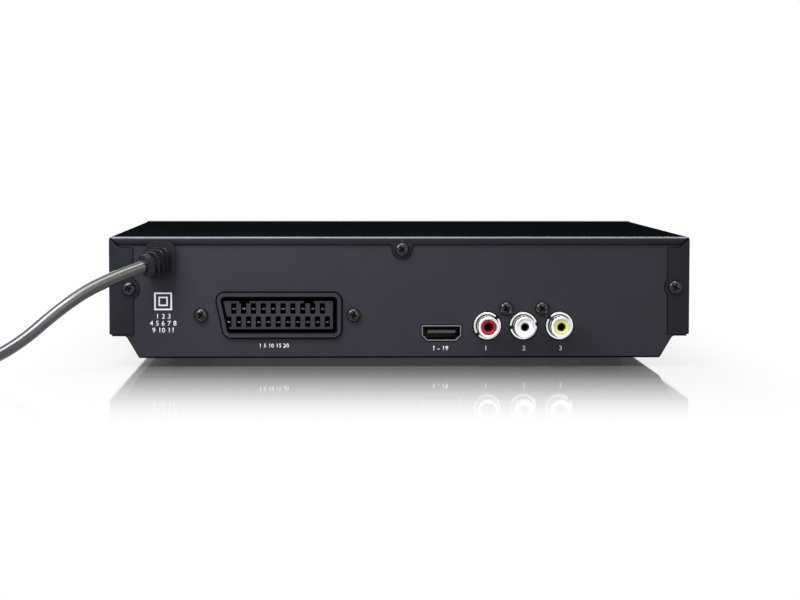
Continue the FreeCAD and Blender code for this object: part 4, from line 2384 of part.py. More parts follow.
def check():
    """Stops on a broken object or an unsound shape."""
    problems = []
    for thing in document.Objects:
        if "Invalid" in thing.State or "Error" in thing.State:
            problems.append(f"{thing.Name} ({thing.Label}): {thing.State}")
    for name, thing in nodes.items():
        if thing.Shape.isNull() or not thing.Shape.isValid():
            problems.append(f"{name}: its shape is empty or not valid")
    if problems:
        raise RuntimeError("\n".join(problems))


build()
check()
os.makedirs("parts", exist_ok=True)
for name, thing in nodes.items():
    thing.Shape.exportStep(f"parts/{name}.step")
print(f"{len(nodes)} pieces")
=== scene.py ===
"""A tray-loading disc player seen from behind, with its mains cord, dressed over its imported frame.

Lengths are metres in the frame's axes: X runs across the case, -Y is the front with the tray, +Y the
back with the sockets, and Z points up from the surface that the player stands on.
"""

import math

import bmesh
import bpy
from mathutils import Matrix, Vector


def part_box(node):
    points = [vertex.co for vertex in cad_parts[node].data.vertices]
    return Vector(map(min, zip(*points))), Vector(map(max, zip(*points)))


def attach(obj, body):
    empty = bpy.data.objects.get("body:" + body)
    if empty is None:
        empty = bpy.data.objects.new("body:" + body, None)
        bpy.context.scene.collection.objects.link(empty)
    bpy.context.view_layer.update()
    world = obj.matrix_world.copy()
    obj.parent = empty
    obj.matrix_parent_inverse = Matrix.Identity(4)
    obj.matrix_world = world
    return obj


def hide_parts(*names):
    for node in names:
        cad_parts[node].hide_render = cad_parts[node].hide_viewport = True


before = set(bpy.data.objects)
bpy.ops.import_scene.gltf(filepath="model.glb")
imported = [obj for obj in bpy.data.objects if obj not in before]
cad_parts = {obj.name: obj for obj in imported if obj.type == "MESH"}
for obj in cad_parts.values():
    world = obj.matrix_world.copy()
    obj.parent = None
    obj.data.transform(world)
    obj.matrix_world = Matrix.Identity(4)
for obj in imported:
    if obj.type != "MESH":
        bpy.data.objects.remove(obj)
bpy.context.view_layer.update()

bl_info = {
    "name": "Disc Player",
    "version": (1, 0, 0),
    "blender": (4, 5, 0),
    "location": "View3D > Sidebar > Disc Player",
    "description": "Dresses the packed disc player with finishes, sockets, cord and stage",
    "category": "Object",
}

MM = 0.001
SMOOTH_ANGLE = math.radians(35)
SAME_PLACE = 1e-6


# The outer face of the back, and the case's underside above its feet
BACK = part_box("rear_panel")[1].y
CASE_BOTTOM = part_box("rear_panel")[0].z

# Where the cord leaves the strain relief, and which way
CORD_EXIT = (0.0977, 0.1083, 0.03985)
CORD_WAY = (0.8403, 0.4625, -0.2828)

# The hanging run's middle line: its straight start and its points, in millimetres
CORD_START = 19.5
CORD_RUN = [(128.6, 126.8, 24.4), (141.8, 131.4, 12.6), (156.5, 134.2, 4.6), (174.0, 135.6, 3.1)]

# The coil winds in on the surface, climbs half a turn and winds out again on top; millimetres
COIL_MIDDLE = (207.0, 95.0)
COIL_TURNS = 7 + 1 / 3
COIL_CLIMB = 0.5
COIL_LAYER = (COIL_TURNS - COIL_CLIMB) / 2
COIL_PITCH = 5.8
COIL_INNER = 30.2 - COIL_PITCH * COIL_LAYER / 2
COIL_LEVEL = 3.1
COIL_RISE = 5.7
COIL_PINCH = 0.8
COIL_STEPS = 16

# Straight stretches before and after the coil, and where the tail has come down to the plug
LEAD_IN = (21, 5)
LEAD_OUT = 5
TAIL_FLAT = 7
TAIL_LOWERED = (13, 20)
PLUG_WAY = Vector((-0.4799, -0.8773, 0)).normalized()
PLUG_LEVEL = 0.00695

# Pins of the plug in millimetres, with the part that their sleeves leave bare
PIN_LENGTH = 19
PIN_RADIUS = 2
PIN_BARE_FROM = 10
PIN_OFFSET = 9.3


def coil_point(turn):
    """A control point of the coil: a little outside, since the line runs inside its points."""
    if turn <= COIL_LAYER:
        radius, level = COIL_INNER + COIL_PITCH * (COIL_LAYER - turn), COIL_LEVEL
    elif turn < COIL_LAYER + COIL_CLIMB:
        share = (turn - COIL_LAYER) / COIL_CLIMB
        radius = COIL_INNER - COIL_PINCH * math.sin(math.pi * share)
        level = COIL_LEVEL + COIL_RISE * (share - math.sin(2 * math.pi * share) / (2 * math.pi))
    else:
        radius = COIL_INNER + COIL_PITCH * (turn - COIL_LAYER - COIL_CLIMB)
        level = COIL_LEVEL + COIL_RISE
    radius *= 2 / (1 + math.cos(math.pi / COIL_STEPS))
    angle = math.radians(90 - 360 * turn)
    x = COIL_MIDDLE[0] + radius * math.cos(angle)
    y = COIL_MIDDLE[1] + radius * math.sin(angle)
    return Vector((x, y, level)) * MM


# Softboxes: name, place, what it faces, size, power and any colour but white
LAMPS = [
    ("key_softbox", (0.17, 0.24, 0.19), (0.06, 0.096, 0.035), 0.14, 0.85, "#eceeff"),
    ("fill_softbox", (-0.55, 1.1, 0.45), (0, 0.095, 0.02), 0.9, 3.0),
    ("top_softbox", (0.05, 0.45, 1.0), (0, 0.03, 0.05), 0.7, 9.0),
    ("front_left_softbox", (-0.6, -1.2, 0.8), (0, -0.1, 0.02), 0.8, 7.0),
    ("front_right_softbox", (0.8, -0.9, 0.5), (0, -0.1, 0.02), 0.8, 4.0),
]
WORLD_LIGHT = 0.2

# Floor: how far inside the case's outline the mirror image begins to fade, and its least share of white,
# a faint glow that is painted light over the shade and mirror image under the case
MIRROR_INSET = 8
UNDER_CASE_GLOW = 0.04

# The places below are millimetres across the case and above its bottom.
# Round jacks: ring, place across the case, and the turn of the flange's notches
JACKS = [("red", -33.8, 41), ("white", -47.85, 7), ("yellow", -61.9, -39)]
JACK_HEIGHT = 12.5

# Slanted socket: its middle, and its rows with their rise from the middle and their contacts
SLANTED_MIDDLE = (47.3, 16.7)
CONTACT_ROWS = [(2.565, 10), (-2.565, 11)]
RIM_HEIGHT = 1.2

# Flat socket: contacts and the pitch between them
STRIPS = 19
STRIP_PITCH = 0.5

# Screws: node, slot, sheet under the head, and each one's place and turn of its cross
SCREW_SETS = [
    ("cover_screws", "black_screw", 0.8, [(104.8, 27.05, 20), (-106.8, 27.5, 65), (-0.6, 42.2, 40)]),
    ("socket_screws", "black_screw", 0.0,
     [(77.1, 16.7, 55), (18.1, 16.7, 75), (-41.2, 19.2, 30), (-55.1, 19.2, 50)]),
]
CROSS_REACH = 1.85
CROSS_HALF = 0.42
CROSS_DEPTH = 1.4

# Skins of the case: node, body, slot and rounding of its edges in millimetres
KEYS = ("power_button", "eject_button", "play_button", "stop_button")
CASE_SKINS = [
    ("top_cover", "case", "cover_paint", 0.0),
    ("rear_panel", "case", "panel_paint", 0.0),
    ("chassis_pan", "case", "pan_steel", 0.0),
    ("front_panel", "case", "front_plastic", 0.0),
    ("display_window", "case", "window_plastic", 0.15),
    ("feet", "case", "foot_rubber", 0.3),
    ("tray_door", "tray", "front_plastic", 0.0),
    ("disc_tray", "tray", "tray_plastic", 0.0),
    *((key, key, "button_plastic", 0.15) for key in KEYS),
]
LOWER_BEND = 0.65
MITRE = (109.85, 48.1)

# Plain figures on the rear panel: their place and how tall they are
PANEL_NUMBERS = [
    ("1 2 3", 91.6, 16.15, 1.95),
    ("4 5 6 7 8", 91.7, 13.45, 1.95),
    ("9 10 11", 91.6, 10.8, 1.95),
    ("1 5 10 15 20", 48.9, 4.75, 1.55),
    ("1 - 19", -15.6, 3.65, 1.8),
    ("1", -33.3, 3.65, 1.85),
    ("2", -48.1, 3.65, 1.85),
    ("3", -62.4, 3.65, 1.85),
]
TYPE_SIZE = 1.38
SQUARES_MIDDLE = (91.7, 22.05)
SQUARES = [(6.85, 0.6), (3.6, 0.56)]
INK = 0.02


# Settings


def colour_setting(name, description, default):
    """A setting that holds an sRGB hex colour."""
    return bpy.props.StringProperty(name=name, description=description, default=default)


def length_setting(name, description, default):
    """A setting that holds a length in metres."""
    return bpy.props.FloatProperty(name=name, description=description, default=default, unit="LENGTH")


class CaseSettings(bpy.types.PropertyGroup):
    # The shaded copy of the cover's paint, on the top: darker and without reflection, painted shade
    shaded_top_colour: colour_setting("Cover", "Paint of the folded cover", "#090c0e")
    # The lit copy of the same paint, on the flanges and sides: painted light
    lit_fold_colour: colour_setting("Folds", "The same paint where the press has smoothed it", "#181a1e")
    # A painted highlight along the rear bend of the cover
    bend_highlight_colour: colour_setting("Rear bend", "The thin coat over the rear bend", "#6a6c71")
    panel_colour: colour_setting("Rear panel", "Paint of the rear panel", "#26272d")
    front_colour: colour_setting("Front", "Moulded front, door and keys", "#101012")
    print_colour: colour_setting("Print", "Ink of the numbers and signs", "#eceef0")


class SocketSettings(bpy.types.PropertyGroup):
    moulding_colour: colour_setting("Sockets", "Glass-filled moulding of the sockets", "#26282c")
    red: colour_setting("Red ring", "Insulator ring", "#960f20")
    white: colour_setting("White ring", "Insulator ring", "#f2f4f6")
    yellow: colour_setting("Yellow ring", "Insulator ring", "#dddc88")
    contact_pitch: length_setting("Contact pitch", "Between two contacts of a row", 3.81 * MM)
    screw_head: length_setting("Screw head", "Height of a screw's head", 2.0 * MM)


class CordSettings(bpy.types.PropertyGroup):
    diameter: length_setting("Diameter", "Outside of the cord's sleeve", 5.0 * MM)
    length: length_setting("Length", "From the case to the plug", 1.5)
    colour: colour_setting("Sleeve", "Sleeve and plug", "#131416")


class StageSettings(bpy.types.PropertyGroup):
    floor_colour: colour_setting("Floor", "Pale floor", "#a8a8a8")
    fade: length_setting("Fade", "How far from the case its mirror image can be seen", 0.2)
    lens: bpy.props.FloatProperty(
        name="Lens", description="Focal length of the camera", default=104.39, subtype="DISTANCE_CAMERA")
    camera_place: bpy.props.FloatVectorProperty(
        name="Camera", description="Where the camera stands", default=(0.0257, 0.9920, 0.08593),
        subtype="TRANSLATION", unit="LENGTH")
    camera_turn: bpy.props.FloatVectorProperty(
        name="Camera turn", description="Pitch down, turn about the vertical and roll",
        default=(math.radians(3.821), math.radians(1.635), math.radians(0.069)), subtype="EULER")


def settings(name):
    return getattr(bpy.context.scene, name)


# Nodes and materials


def linear(hex_colour):
    """An sRGB hex colour as linear red, green, blue and alpha."""
    parts = [int(hex_colour[i:i + 2], 16) / 255 for i in (1, 3, 5)]
    return tuple(c / 12.92 if c <= 0.04045 else ((c + 0.055) / 1.055) ** 2.4 for c in parts) + (1.0,)


def add_node(tree, kind, inputs=None, **props):
    """Adds a node, sets its properties, and fills or links its inputs."""
    made = tree.nodes.new(kind)
    for name, value in props.items():
        setattr(made, name, value)
    for socket, value in (inputs or {}).items():
        if isinstance(value, bpy.types.NodeSocket):
            tree.links.new(value, made.inputs[socket])
        else:
            made.inputs[socket].default_value = value
    return made


def new_material(name, **sockets):
    """A material with one Principled shader; returns the material, its tree and the shader."""
    made = bpy.data.materials.new(name)
    made.use_nodes = True
    tree = made.node_tree
    tree.nodes.clear()
    values = {socket.replace("_", " "): value for socket, value in sockets.items()}
    shader = add_node(tree, "ShaderNodeBsdfPrincipled", values)
    add_node(tree, "ShaderNodeOutputMaterial", {"Surface": shader.outputs["BSDF"]})
    return made, tree, shader


def object_noise(tree, size_mm, detail, stretch):
    """Noise on the piece's own coordinates, about that wide; stretch lengthens it along an axis."""
    place = add_node(tree, "ShaderNodeTexCoord")
    turned = add_node(tree, "ShaderNodeMapping", {"Vector": place.outputs["Object"], "Scale": stretch})
    return add_node(tree, "ShaderNodeTexNoise", {
        "Vector": turned.outputs["Vector"], "Scale": 1 / (size_mm * MM),
        "Detail": detail}).outputs["Fac"]


def vary_colour(tree, shader, factor, dark, light):
    mix = add_node(tree, "ShaderNodeMix", {"Factor": factor, 6: dark, 7: light}, data_type="RGBA")
    tree.links.new(mix.outputs[2], shader.inputs["Base Color"])


def add_bump(tree, shader, height, depth_mm):
    bump = add_node(tree, "ShaderNodeBump", {
        "Height": height, "Distance": depth_mm * MM, "Strength": 1.0})
    tree.links.new(bump.outputs["Normal"], shader.inputs["Normal"])


def drifting(name, colour, light, share, roughness, spread, drift, grain, depth_mm, stretch=(1, 1, 1),
             **sockets):
    """A surface whose colour and gloss drift over a piece, with a grain; widths in millimetres."""
    made, tree, shader = new_material(name, **sockets)
    factor = object_noise(tree, *drift, stretch)
    base = linear(colour)
    other = tuple(a + (b - a) * share for a, b in zip(base, linear(light)))
    vary_colour(tree, shader, factor, base, other)
    gloss = add_node(tree, "ShaderNodeMapRange", {
        "Value": factor, "To Min": roughness - spread[0], "To Max": roughness + spread[1]})
    tree.links.new(gloss.outputs["Result"], shader.inputs["Roughness"])
    add_bump(tree, shader, object_noise(tree, *grain, stretch), depth_mm)
    return made


def painted_steel(name, colour, roughness, light, share, grain_mm=0.5, depth_mm=0.012, specular=0.5):
    """Powder coat baked on sheet: a fine orange peel and a sheen that drifts over a panel."""
    return drifting(name, colour, light, share, roughness, (0.05, 0.05), (60, 3.0), (grain_mm, 3.0),
                    depth_mm, Metallic=0.0, IOR=1.5, Specular_IOR_Level=specular)


def moulded(name, colour, roughness, grain_mm=0.35, depth_mm=0.006, share=0.05, specular=0.5, **sockets):
    """Injection-moulded plastic: the tool's spark-eroded grain, and a faint drift in its gloss."""
    return drifting(name, colour, "#9a9da2", share, roughness, (0.03, 0.03), (18, 2.0), (grain_mm, 2.0),
                    depth_mm, Metallic=0.0, IOR=1.49, Specular_IOR_Level=specular, **sockets)


def plated(name, colour, roughness, dull="#8c8880", share=0.25, grain_mm=0.3, depth_mm=0.002,
           stretch=(1, 1, 1)):
    """Metal with a thin plating: faint marks from its rolling or turning, and duller patches."""
    return drifting(name, colour, dull, share, roughness, (0.04, 0.08), (4, 3.0), (grain_mm, 2.0),
                    depth_mm, stretch, Metallic=1.0)


def flexible_sleeve(name, colour, roughness=0.43, **sockets):
    """Extruded PVC: satin, with a soft skin over it and a little dust in its grain."""
    return drifting(name, colour, "#5a5c60", 0.06, roughness, (0.06, 0.06), (6, 4.0), (0.5, 2.0),
                    0.01, Metallic=0.0, IOR=1.53, **sockets)


def laminate(name, mask, track, track_mm=1.6):
    """Circuit board: solder mask over copper, seen as slightly raised, lighter tracks."""
    made, tree, shader = new_material(name, Roughness=0.35, IOR=1.5)
    place = add_node(tree, "ShaderNodeTexCoord")
    cells = add_node(tree, "ShaderNodeTexVoronoi", {
        "Vector": place.outputs["Object"], "Scale": 1 / (track_mm * 2.5 * MM)},
        feature="DISTANCE_TO_EDGE")
    tracks = add_node(tree, "ShaderNodeMath", {0: cells.outputs["Distance"], 1: 0.12},
                      operation="LESS_THAN")
    vary_colour(tree, shader, tracks.outputs[0], linear(mask), linear(track))
    add_bump(tree, shader, tracks.outputs[0], 0.03)
    return made


def make_materials():
    """Every finish by name; a name says what the real surface is."""
    case = settings("player_case")
    sockets = settings("player_sockets")
    cord = settings("player_cord")
    made = [
        # Painted sheet, one paint in two copies: a shaded copy on top, dull and without reflection, and
        # a lit copy on the folds; a painted highlight over the rear bend, and painted shade on the
        # panel's lower bend
        painted_steel("matt_powder_coat", case.shaded_top_colour, 0.8, "#1c2023", 0.08, specular=0.0),
        painted_steel("pressed_powder_coat", case.lit_fold_colour, 0.5, "#3a3c42", 0.15, specular=0.12),
        # Painted highlight: a lighter, glossier coat on the faces of the rear bend
        painted_steel("burnished_bend", case.bend_highlight_colour, 0.4, "#a0a2a7", 0.25, 0.4, 0.006, 0.4),
        painted_steel("satin_charcoal_paint", case.panel_colour, 0.46, "#44464e", 0.2, 0.4, 0.008, 0.15),
        # Painted shade: near-black paint on the faces of the panel's lower bend
        painted_steel("edge_paint", "#060709", 0.8, "#101214", 0.1, specular=0.0),
        # Front: glossy housing and satin keys, with a polished window that is nearly black
        moulded("polished_abs", case.front_colour, 0.16, 0.8, 0.002,
                Coat_Weight=0.3, Coat_Roughness=0.08),
        drifting("smoked_acrylic", "#08090b", "#2a2d33", 0.3, 0.04, (0, 0.05), (25, 2.0), (1, 2.0), 0,
                 IOR=1.49, Coat_Weight=0.6, Coat_Roughness=0.03),
        moulded("satin_key_abs", "#1b1c1f", 0.32),
        moulded("foot_rubber", "#1c1c1c", 0.75, 0.5, 0.02),
        # Blackened screws: a small sharp glint on the head, and painted shade in the recess
        moulded("black_chromate", "#08080a", 0.11, 0.6, 0.002, 0.02, 0.42),
        moulded("recess_chromate", "#040405", 0.5, share=0.01, specular=0.1),
        # Sockets: dull glass-filled blocks, bright or stamped nickel; darker copies as painted shade in
        # their recesses and grooves and on their contacts, and flat black pieces as painted shadow in
        # the gaps round them
        moulded("glass_filled_pbt", sockets.moulding_colour, 0.42, 0.3, 0.008, specular=0.15),
        # Painted shade: a darker, duller copy of the socket moulding for its cavity
        moulded("matt_pbt", "#0c0d0f", 0.7, 0.3, 0.012, 0.01, 0.06),
        moulded("grey_liquid_crystal_polymer", "#4a4b4f", 0.5, specular=0.2),
        # Painted shadow: a flat near-black for the strips and rings laid in the gaps round the cover and
        # the sockets
        moulded("closed_cell_foam", "#050506", 0.9, 0.2, 0.02, 0.01, 0.02),
        plated("nickel_plate", "#f1f1ef", 0.18, "#d2d1cd", 0.35, 0.5, 0.002),
        plated("stamped_nickel", "#828286", 0.36, "#5c5c60", 0.4, 0.5, 0.004),
        # Painted shade: darker nickel for the jacks' crimped groove and the gap inside their flange
        plated("grooved_nickel", "#38383b", 0.5, "#222224", 0.4, 0.5, 0.004),
        # Tin darkened as painted shade, since its contacts sit deep in the slots
        plated("tin_plate", "#5c5b56", 0.42, "#3a3935", 0.5, 0.4, 0.004),
        # Gold darkened as painted shade, since its contacts sit deep in the bores and in the flat
        # socket's shell
        plated("gold_flash", "#7a6330", 0.32, "#4c3f22", 0.4),
        *(moulded(f"{ring}_abs", getattr(sockets, ring), 0.3, share=0.02, specular=0.3)
          for ring, *_ in JACKS),
        moulded("screen_ink", case.print_colour, 0.55, 0.3, 0.002, 0.1),
        # Boards and what stands on them
        laminate("green_solder_mask", "#0f4a2a", "#1c6b3f"),
        laminate("phenolic_laminate", "#9c7a42", "#b08d52", 2.5),
        # Also painted shade inside the flat socket's shell
        moulded("black_epoxy", "#1a1b1d", 0.55, 0.25, 0.01),
        plated("sleeved_aluminium", "#2c3546", 0.35, "#1b2230", 0.5),
        moulded("ferrite", "#3a3735", 0.7, 0.3, 0.02),
        plated("extruded_aluminium", "#a9abae", 0.42, "#85878b", 0.4, 0.5, 0.005, (1, 6, 1)),
        flexible_sleeve("lead_pvc", "#141416"),
        moulded("polyester_film", "#d9d9d3", 0.35, 1.0, 0.004),
        # Loader: grained mouldings, slippery gears, ground rods with fine lines across them
        plated("zinc_plated_sheet", "#b4b6b8", 0.38, "#8d9094", 0.4, 1.5, 0.004),
        plated("bright_zinc", "#c2c3c4", 0.3),
        moulded("loader_abs", "#202124", 0.55, 0.5, 0.012),
        moulded("tray_abs", "#232427", 0.5, 0.5, 0.012),
        moulded("pom_black", "#2b2c2f", 0.45),
        plated("ground_steel", "#c6c8ca", 0.16, "#6f7175", 0.2, 0.4, 0.002, (1, 8, 1)),
        plated("die_cast_aluminium", "#8f9193", 0.5, "#6c6e70", 0.4, 0.6, 0.01),
        moulded("coated_lens", "#3c4163", 0.08, 2.0, 0.0005, Coat_Weight=1.0, Coat_Roughness=0.02),
        moulded("acetal", "#e2dfd3", 0.4, 0.4, 0.004),
        moulded("belt_rubber", "#161616", 0.7, 0.3, 0.01),
        plated("drawn_steel_can", "#9b9da0", 0.3, "#77797c", 0.4),
        # Cord: a glossy skin on the sleeve, a duller strain relief and plug
        flexible_sleeve("cord_pvc", cord.colour, 0.24, Coat_Weight=0.8, Coat_Roughness=0.1),
        moulded("relief_pvc", "#131419", 0.42, 0.6, 0.015, 0.02, 0.15),
        moulded("strap_nylon", "#141517", 0.42),
        moulded("plug_pvc", cord.colour, 0.45, 0.6, 0.02),
        plated("nickel_plated_brass", "#c9c1a8", 0.22, "#a39a7c", 0.3),
    ]
    return {material.name: material for material in made}


# Each finish with the nodes that have it
FINISHED_NODES = {
    "matt_powder_coat": "top_cover",
    "satin_charcoal_paint": "rear_panel chassis_pan",
    "polished_abs": "front_panel tray_door",
    "smoked_acrylic": "display_window",
    "satin_key_abs": "power_button eject_button play_button stop_button",
    "foot_rubber": "feet",
    "black_chromate": "cover_screws socket_screws",
    "bright_zinc": "inner_screws",
    "green_solder_mask": "front_board main_board",
    "black_epoxy": "tact_switches display_module ir_receiver board_parts",
    "nickel_plate": "usb_socket hdmi_shell jack_shells",
    "sleeved_aluminium": "capacitors",
    "glass_filled_pbt": "scart_socket jack_block",
    "grey_liquid_crystal_polymer": "hdmi_tongue",
    **{f"{ring}_abs": f"{ring}_jack_ring" for ring, *_ in JACKS},
    "phenolic_laminate": "power_board",
    "ferrite": "transformer",
    "extruded_aluminium": "heatsink",
    "lead_pvc": "mains_lead_inner",
    "polyester_film": "ribbon_cables",
    "loader_abs": "loader_frame traverse_frame",
    "tray_abs": "disc_tray",
    "zinc_plated_sheet": "clamp_bridge",
    "pom_black": "disc_clamper turntable",
    "drawn_steel_can": "spindle_motor sled_motor loading_motor",
    "die_cast_aluminium": "pickup_sled",
    "coated_lens": "pickup_lens",
    "ground_steel": "guide_rods",
    "acetal": "sled_gear lift_slider motor_pulley pulley_gear tray_gear",
    "belt_rubber": "loading_belt",
    "cord_pvc": "cord_grommet power_cord cord_coil",
    "strap_nylon": "cord_tie",
    "plug_pvc": "mains_plug",
    "nickel_plated_brass": "plug_pins",
}
NODE_FINISH = {node: finish for finish, nodes in FINISHED_NODES.items() for node in nodes.split()}


def give_finish(piece, finish):
    piece.data.materials.clear()
    piece.data.materials.append(bpy.data.materials[finish])


# Modelling


def deselect_all():
    if bpy.context.mode != "OBJECT":
        bpy.ops.object.mode_set(mode="OBJECT")
    bpy.ops.object.select_all(action="DESELECT")


def select_only(*pieces):
    deselect_all()
    for piece in pieces:
        piece.select_set(True)
    bpy.context.view_layer.objects.active = pieces[0]


def named(name):
    """Names the piece that an operator has just added."""
    piece = bpy.context.object
    piece.name = name
    piece.data.name = name
    return piece


def started(name, shape, **props):
    """A plain mesh shape that a piece starts from."""
    deselect_all()
    getattr(bpy.ops.mesh, f"primitive_{shape}_add")(**props)
    return named(name)


def spin(degrees, axis="Z"):
    return Matrix.Rotation(math.radians(degrees), 4, axis)


def start_edit(piece, kind="FACE"):
    """Edit mode with everything selected."""
    select_only(piece)
    bpy.ops.object.mode_set(mode="EDIT")
    bpy.ops.mesh.select_mode(type=kind)
    bpy.ops.mesh.select_all(action="SELECT")


def end_edit():
    bpy.ops.object.mode_set(mode="OBJECT")


def pick(piece, kind, wanted):
    """Selects only the faces or edges whose middle and direction pass a test."""
    mesh = bmesh.from_edit_mesh(piece.data)
    for item in (*mesh.verts, *mesh.edges, *mesh.faces):
        item.select = False
    for item in getattr(mesh, kind):
        if kind == "faces":
            middle, direction = item.calc_center_median(), item.normal
        else:
            start, end = (vertex.co for vertex in item.verts)
            middle, direction = (start + end) / 2, (end - start).normalized()
        if wanted(middle, direction):
            item.select_set(True)
    mesh.select_flush_mode()
    bmesh.update_edit_mesh(piece.data)


def apply_place(piece, place=None):
    """Moves a piece by a matrix and puts the place into its mesh."""
    if place is not None:
        piece.matrix_world = place @ piece.matrix_world
    select_only(piece)
    bpy.ops.object.transform_apply(location=True, rotation=True, scale=True)
    return piece


def add_modifier(piece, kind, **props):
    """Adds a modifier and applies it."""
    select_only(piece)
    modifier = piece.modifiers.new(kind.title(), kind)
    for name, value in props.items():
        setattr(modifier, name, value)
    bpy.ops.object.modifier_apply(modifier=modifier.name)
    return piece


def round_off(piece, width_mm, segments=2, angle=30):
    return add_modifier(piece, "BEVEL", width=width_mm * MM, segments=segments, limit_method="ANGLE",
                        angle_limit=math.radians(angle))


def smooth(piece):
    select_only(piece)
    bpy.ops.object.shade_smooth_by_angle(angle=SMOOTH_ANGLE)
    return piece


def shade(piece):
    """Smooth shading in which the large faces stay flat."""
    return add_modifier(smooth(piece), "WEIGHTED_NORMAL", keep_sharp=True, weight=80)


def copied(piece, name, place):
    """A copy with its own mesh, moved by a matrix."""
    select_only(piece)
    bpy.ops.object.duplicate(linked=False)
    return apply_place(named(name), place)


def joined(name, pieces):
    select_only(*pieces)
    if len(pieces) > 1:
        bpy.ops.object.join()
    return named(name)


def repeated(piece, name, places):
    """Joins copies of a piece that stand at several places, and removes the piece."""
    made = [copied(piece, f"{name}_part", place) for place in places]
    bpy.data.objects.remove(piece)
    return joined(name, made)


def dressed(node, rounding_mm=0.0, angle=40):
    """A merged copy of a node's mesh, with smooth bends and edges that catch light."""
    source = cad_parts[node]
    piece = bpy.data.objects.new(f"{node}_skin", source.data.copy())
    bpy.context.scene.collection.objects.link(piece)
    start_edit(piece)
    bpy.ops.mesh.remove_doubles(threshold=SAME_PLACE)
    if rounding_mm:
        bpy.ops.mesh.dissolve_limited(angle_limit=math.radians(0.5))
    end_edit()
    if rounding_mm:
        round_off(piece, rounding_mm, 2, angle)
    return shade(piece)


def refinish(piece, finish, test):
    """Gives a second finish to the faces that pass a test."""
    piece.data.materials.append(bpy.data.materials[finish])
    last = len(piece.data.materials) - 1
    for face in piece.data.polygons:
        if test(face.center, face.normal):
            face.material_index = last


def carved(piece, cutter):
    """Cuts one piece out of another and removes the cutter."""
    add_modifier(piece, "BOOLEAN", operation="DIFFERENCE", object=cutter, solver="EXACT")
    bpy.data.objects.remove(cutter)
    return piece


def block(name, low, high):
    """A box between two corners given in millimetres."""
    low, high = Vector(low) * MM, Vector(high) * MM
    return apply_place(started(name, "cube", size=1, location=(low + high) / 2, scale=high - low))


def turned_part(name, profile, segments=64, closed=True):
    """Stretches a circle along +Z through rings given as radius and height in millimetres."""
    rings = [(max(radius, 1e-4) * MM, level * MM) for radius, level in profile]
    radius, level = rings[0]
    start = started(name, "circle", vertices=segments, radius=radius, location=(0, 0, level))
    piece = apply_place(start)
    start_edit(piece, "EDGE")
    if closed:
        bpy.ops.mesh.edge_face_add()
    for wider, higher in rings[1:]:
        bpy.ops.mesh.extrude_region()
        bpy.ops.transform.translate(value=(0, 0, higher - level))
        grow = wider / radius
        bpy.ops.transform.resize(value=(grow, grow, 1), center_override=(0, 0, higher))
        radius, level = wider, higher
    end_edit()
    return piece


def revolved(name, profile, segments=64):
    """Closes a profile of radius and height round the Z axis, first point joined to the last."""
    piece = turned_part(name, [*profile, profile[0]], segments, closed=False)
    start_edit(piece)
    bpy.ops.mesh.remove_doubles(threshold=SAME_PLACE)
    bpy.ops.mesh.normals_make_consistent(inside=False)
    end_edit()
    return piece


def shadow_line_cord(name, node, radius_mm, beyond):
    """A thin black cord on the panel, along the outline of the rear faces that lie beyond a level:
    painted shadow in the gap round them.
    """
    def wanted(middle, normal):
        return middle.y > beyond and normal.y > 0.9

    cord = dressed(node)
    level = min(face.center.y for face in cord.data.polygons if wanted(face.center, face.normal))
    start_edit(cord)
    pick(cord, "faces", lambda middle, normal: not wanted(middle, normal))
    bpy.ops.mesh.delete(type="FACE")
    bpy.ops.mesh.select_all(action="SELECT")
    bpy.ops.transform.translate(value=(0, BACK - level, 0))
    bpy.ops.mesh.region_to_loop()
    bpy.ops.mesh.select_all(action="INVERT")
    bpy.ops.mesh.delete(type="EDGE")
    bpy.ops.mesh.select_all(action="SELECT")
    bpy.ops.mesh.delete(type="ONLY_FACE")
    end_edit()
    select_only(cord)
    bpy.ops.object.convert(target="CURVE")
    cord = named(name)
    cord.data.bevel_depth = radius_mm * MM
    cord.data.bevel_resolution = 1
    bpy.ops.object.convert(target="MESH")
    return put(smooth(named(name)), "case", "socket_plastic", "closed_cell_foam")


def put(piece, body, slot, finish, *nodes):
    """Gives a finished piece its body, and its material unless it has one, and hides the nodes it stands
    for; the slot is not used.
    """
    if finish:
        give_finish(piece, finish)
    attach(piece, body)
    if nodes:
        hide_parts(*nodes)
    return piece


def towards_back(x, z, off=0.0):
    """Stands a part drawn along +Z on the rear panel, or millimetres off it, facing +Y."""
    place = Matrix.Translation((x * MM, BACK + off * MM, CASE_BOTTOM + z * MM))
    return place @ spin(-90, "X")


def middle_of(node):
    low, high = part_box(node)
    return (low + high) / 2


# Pieces


class DressNodes(bpy.types.Operator):
    """Gives every node of the frame its finish"""

    bl_idname = "player.dress_nodes"
    bl_label = "Dress the Nodes"

    def execute(self, context):
        make_materials()
        for name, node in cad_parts.items():
            give_finish(node, NODE_FINISH[name])
        return {"FINISHED"}


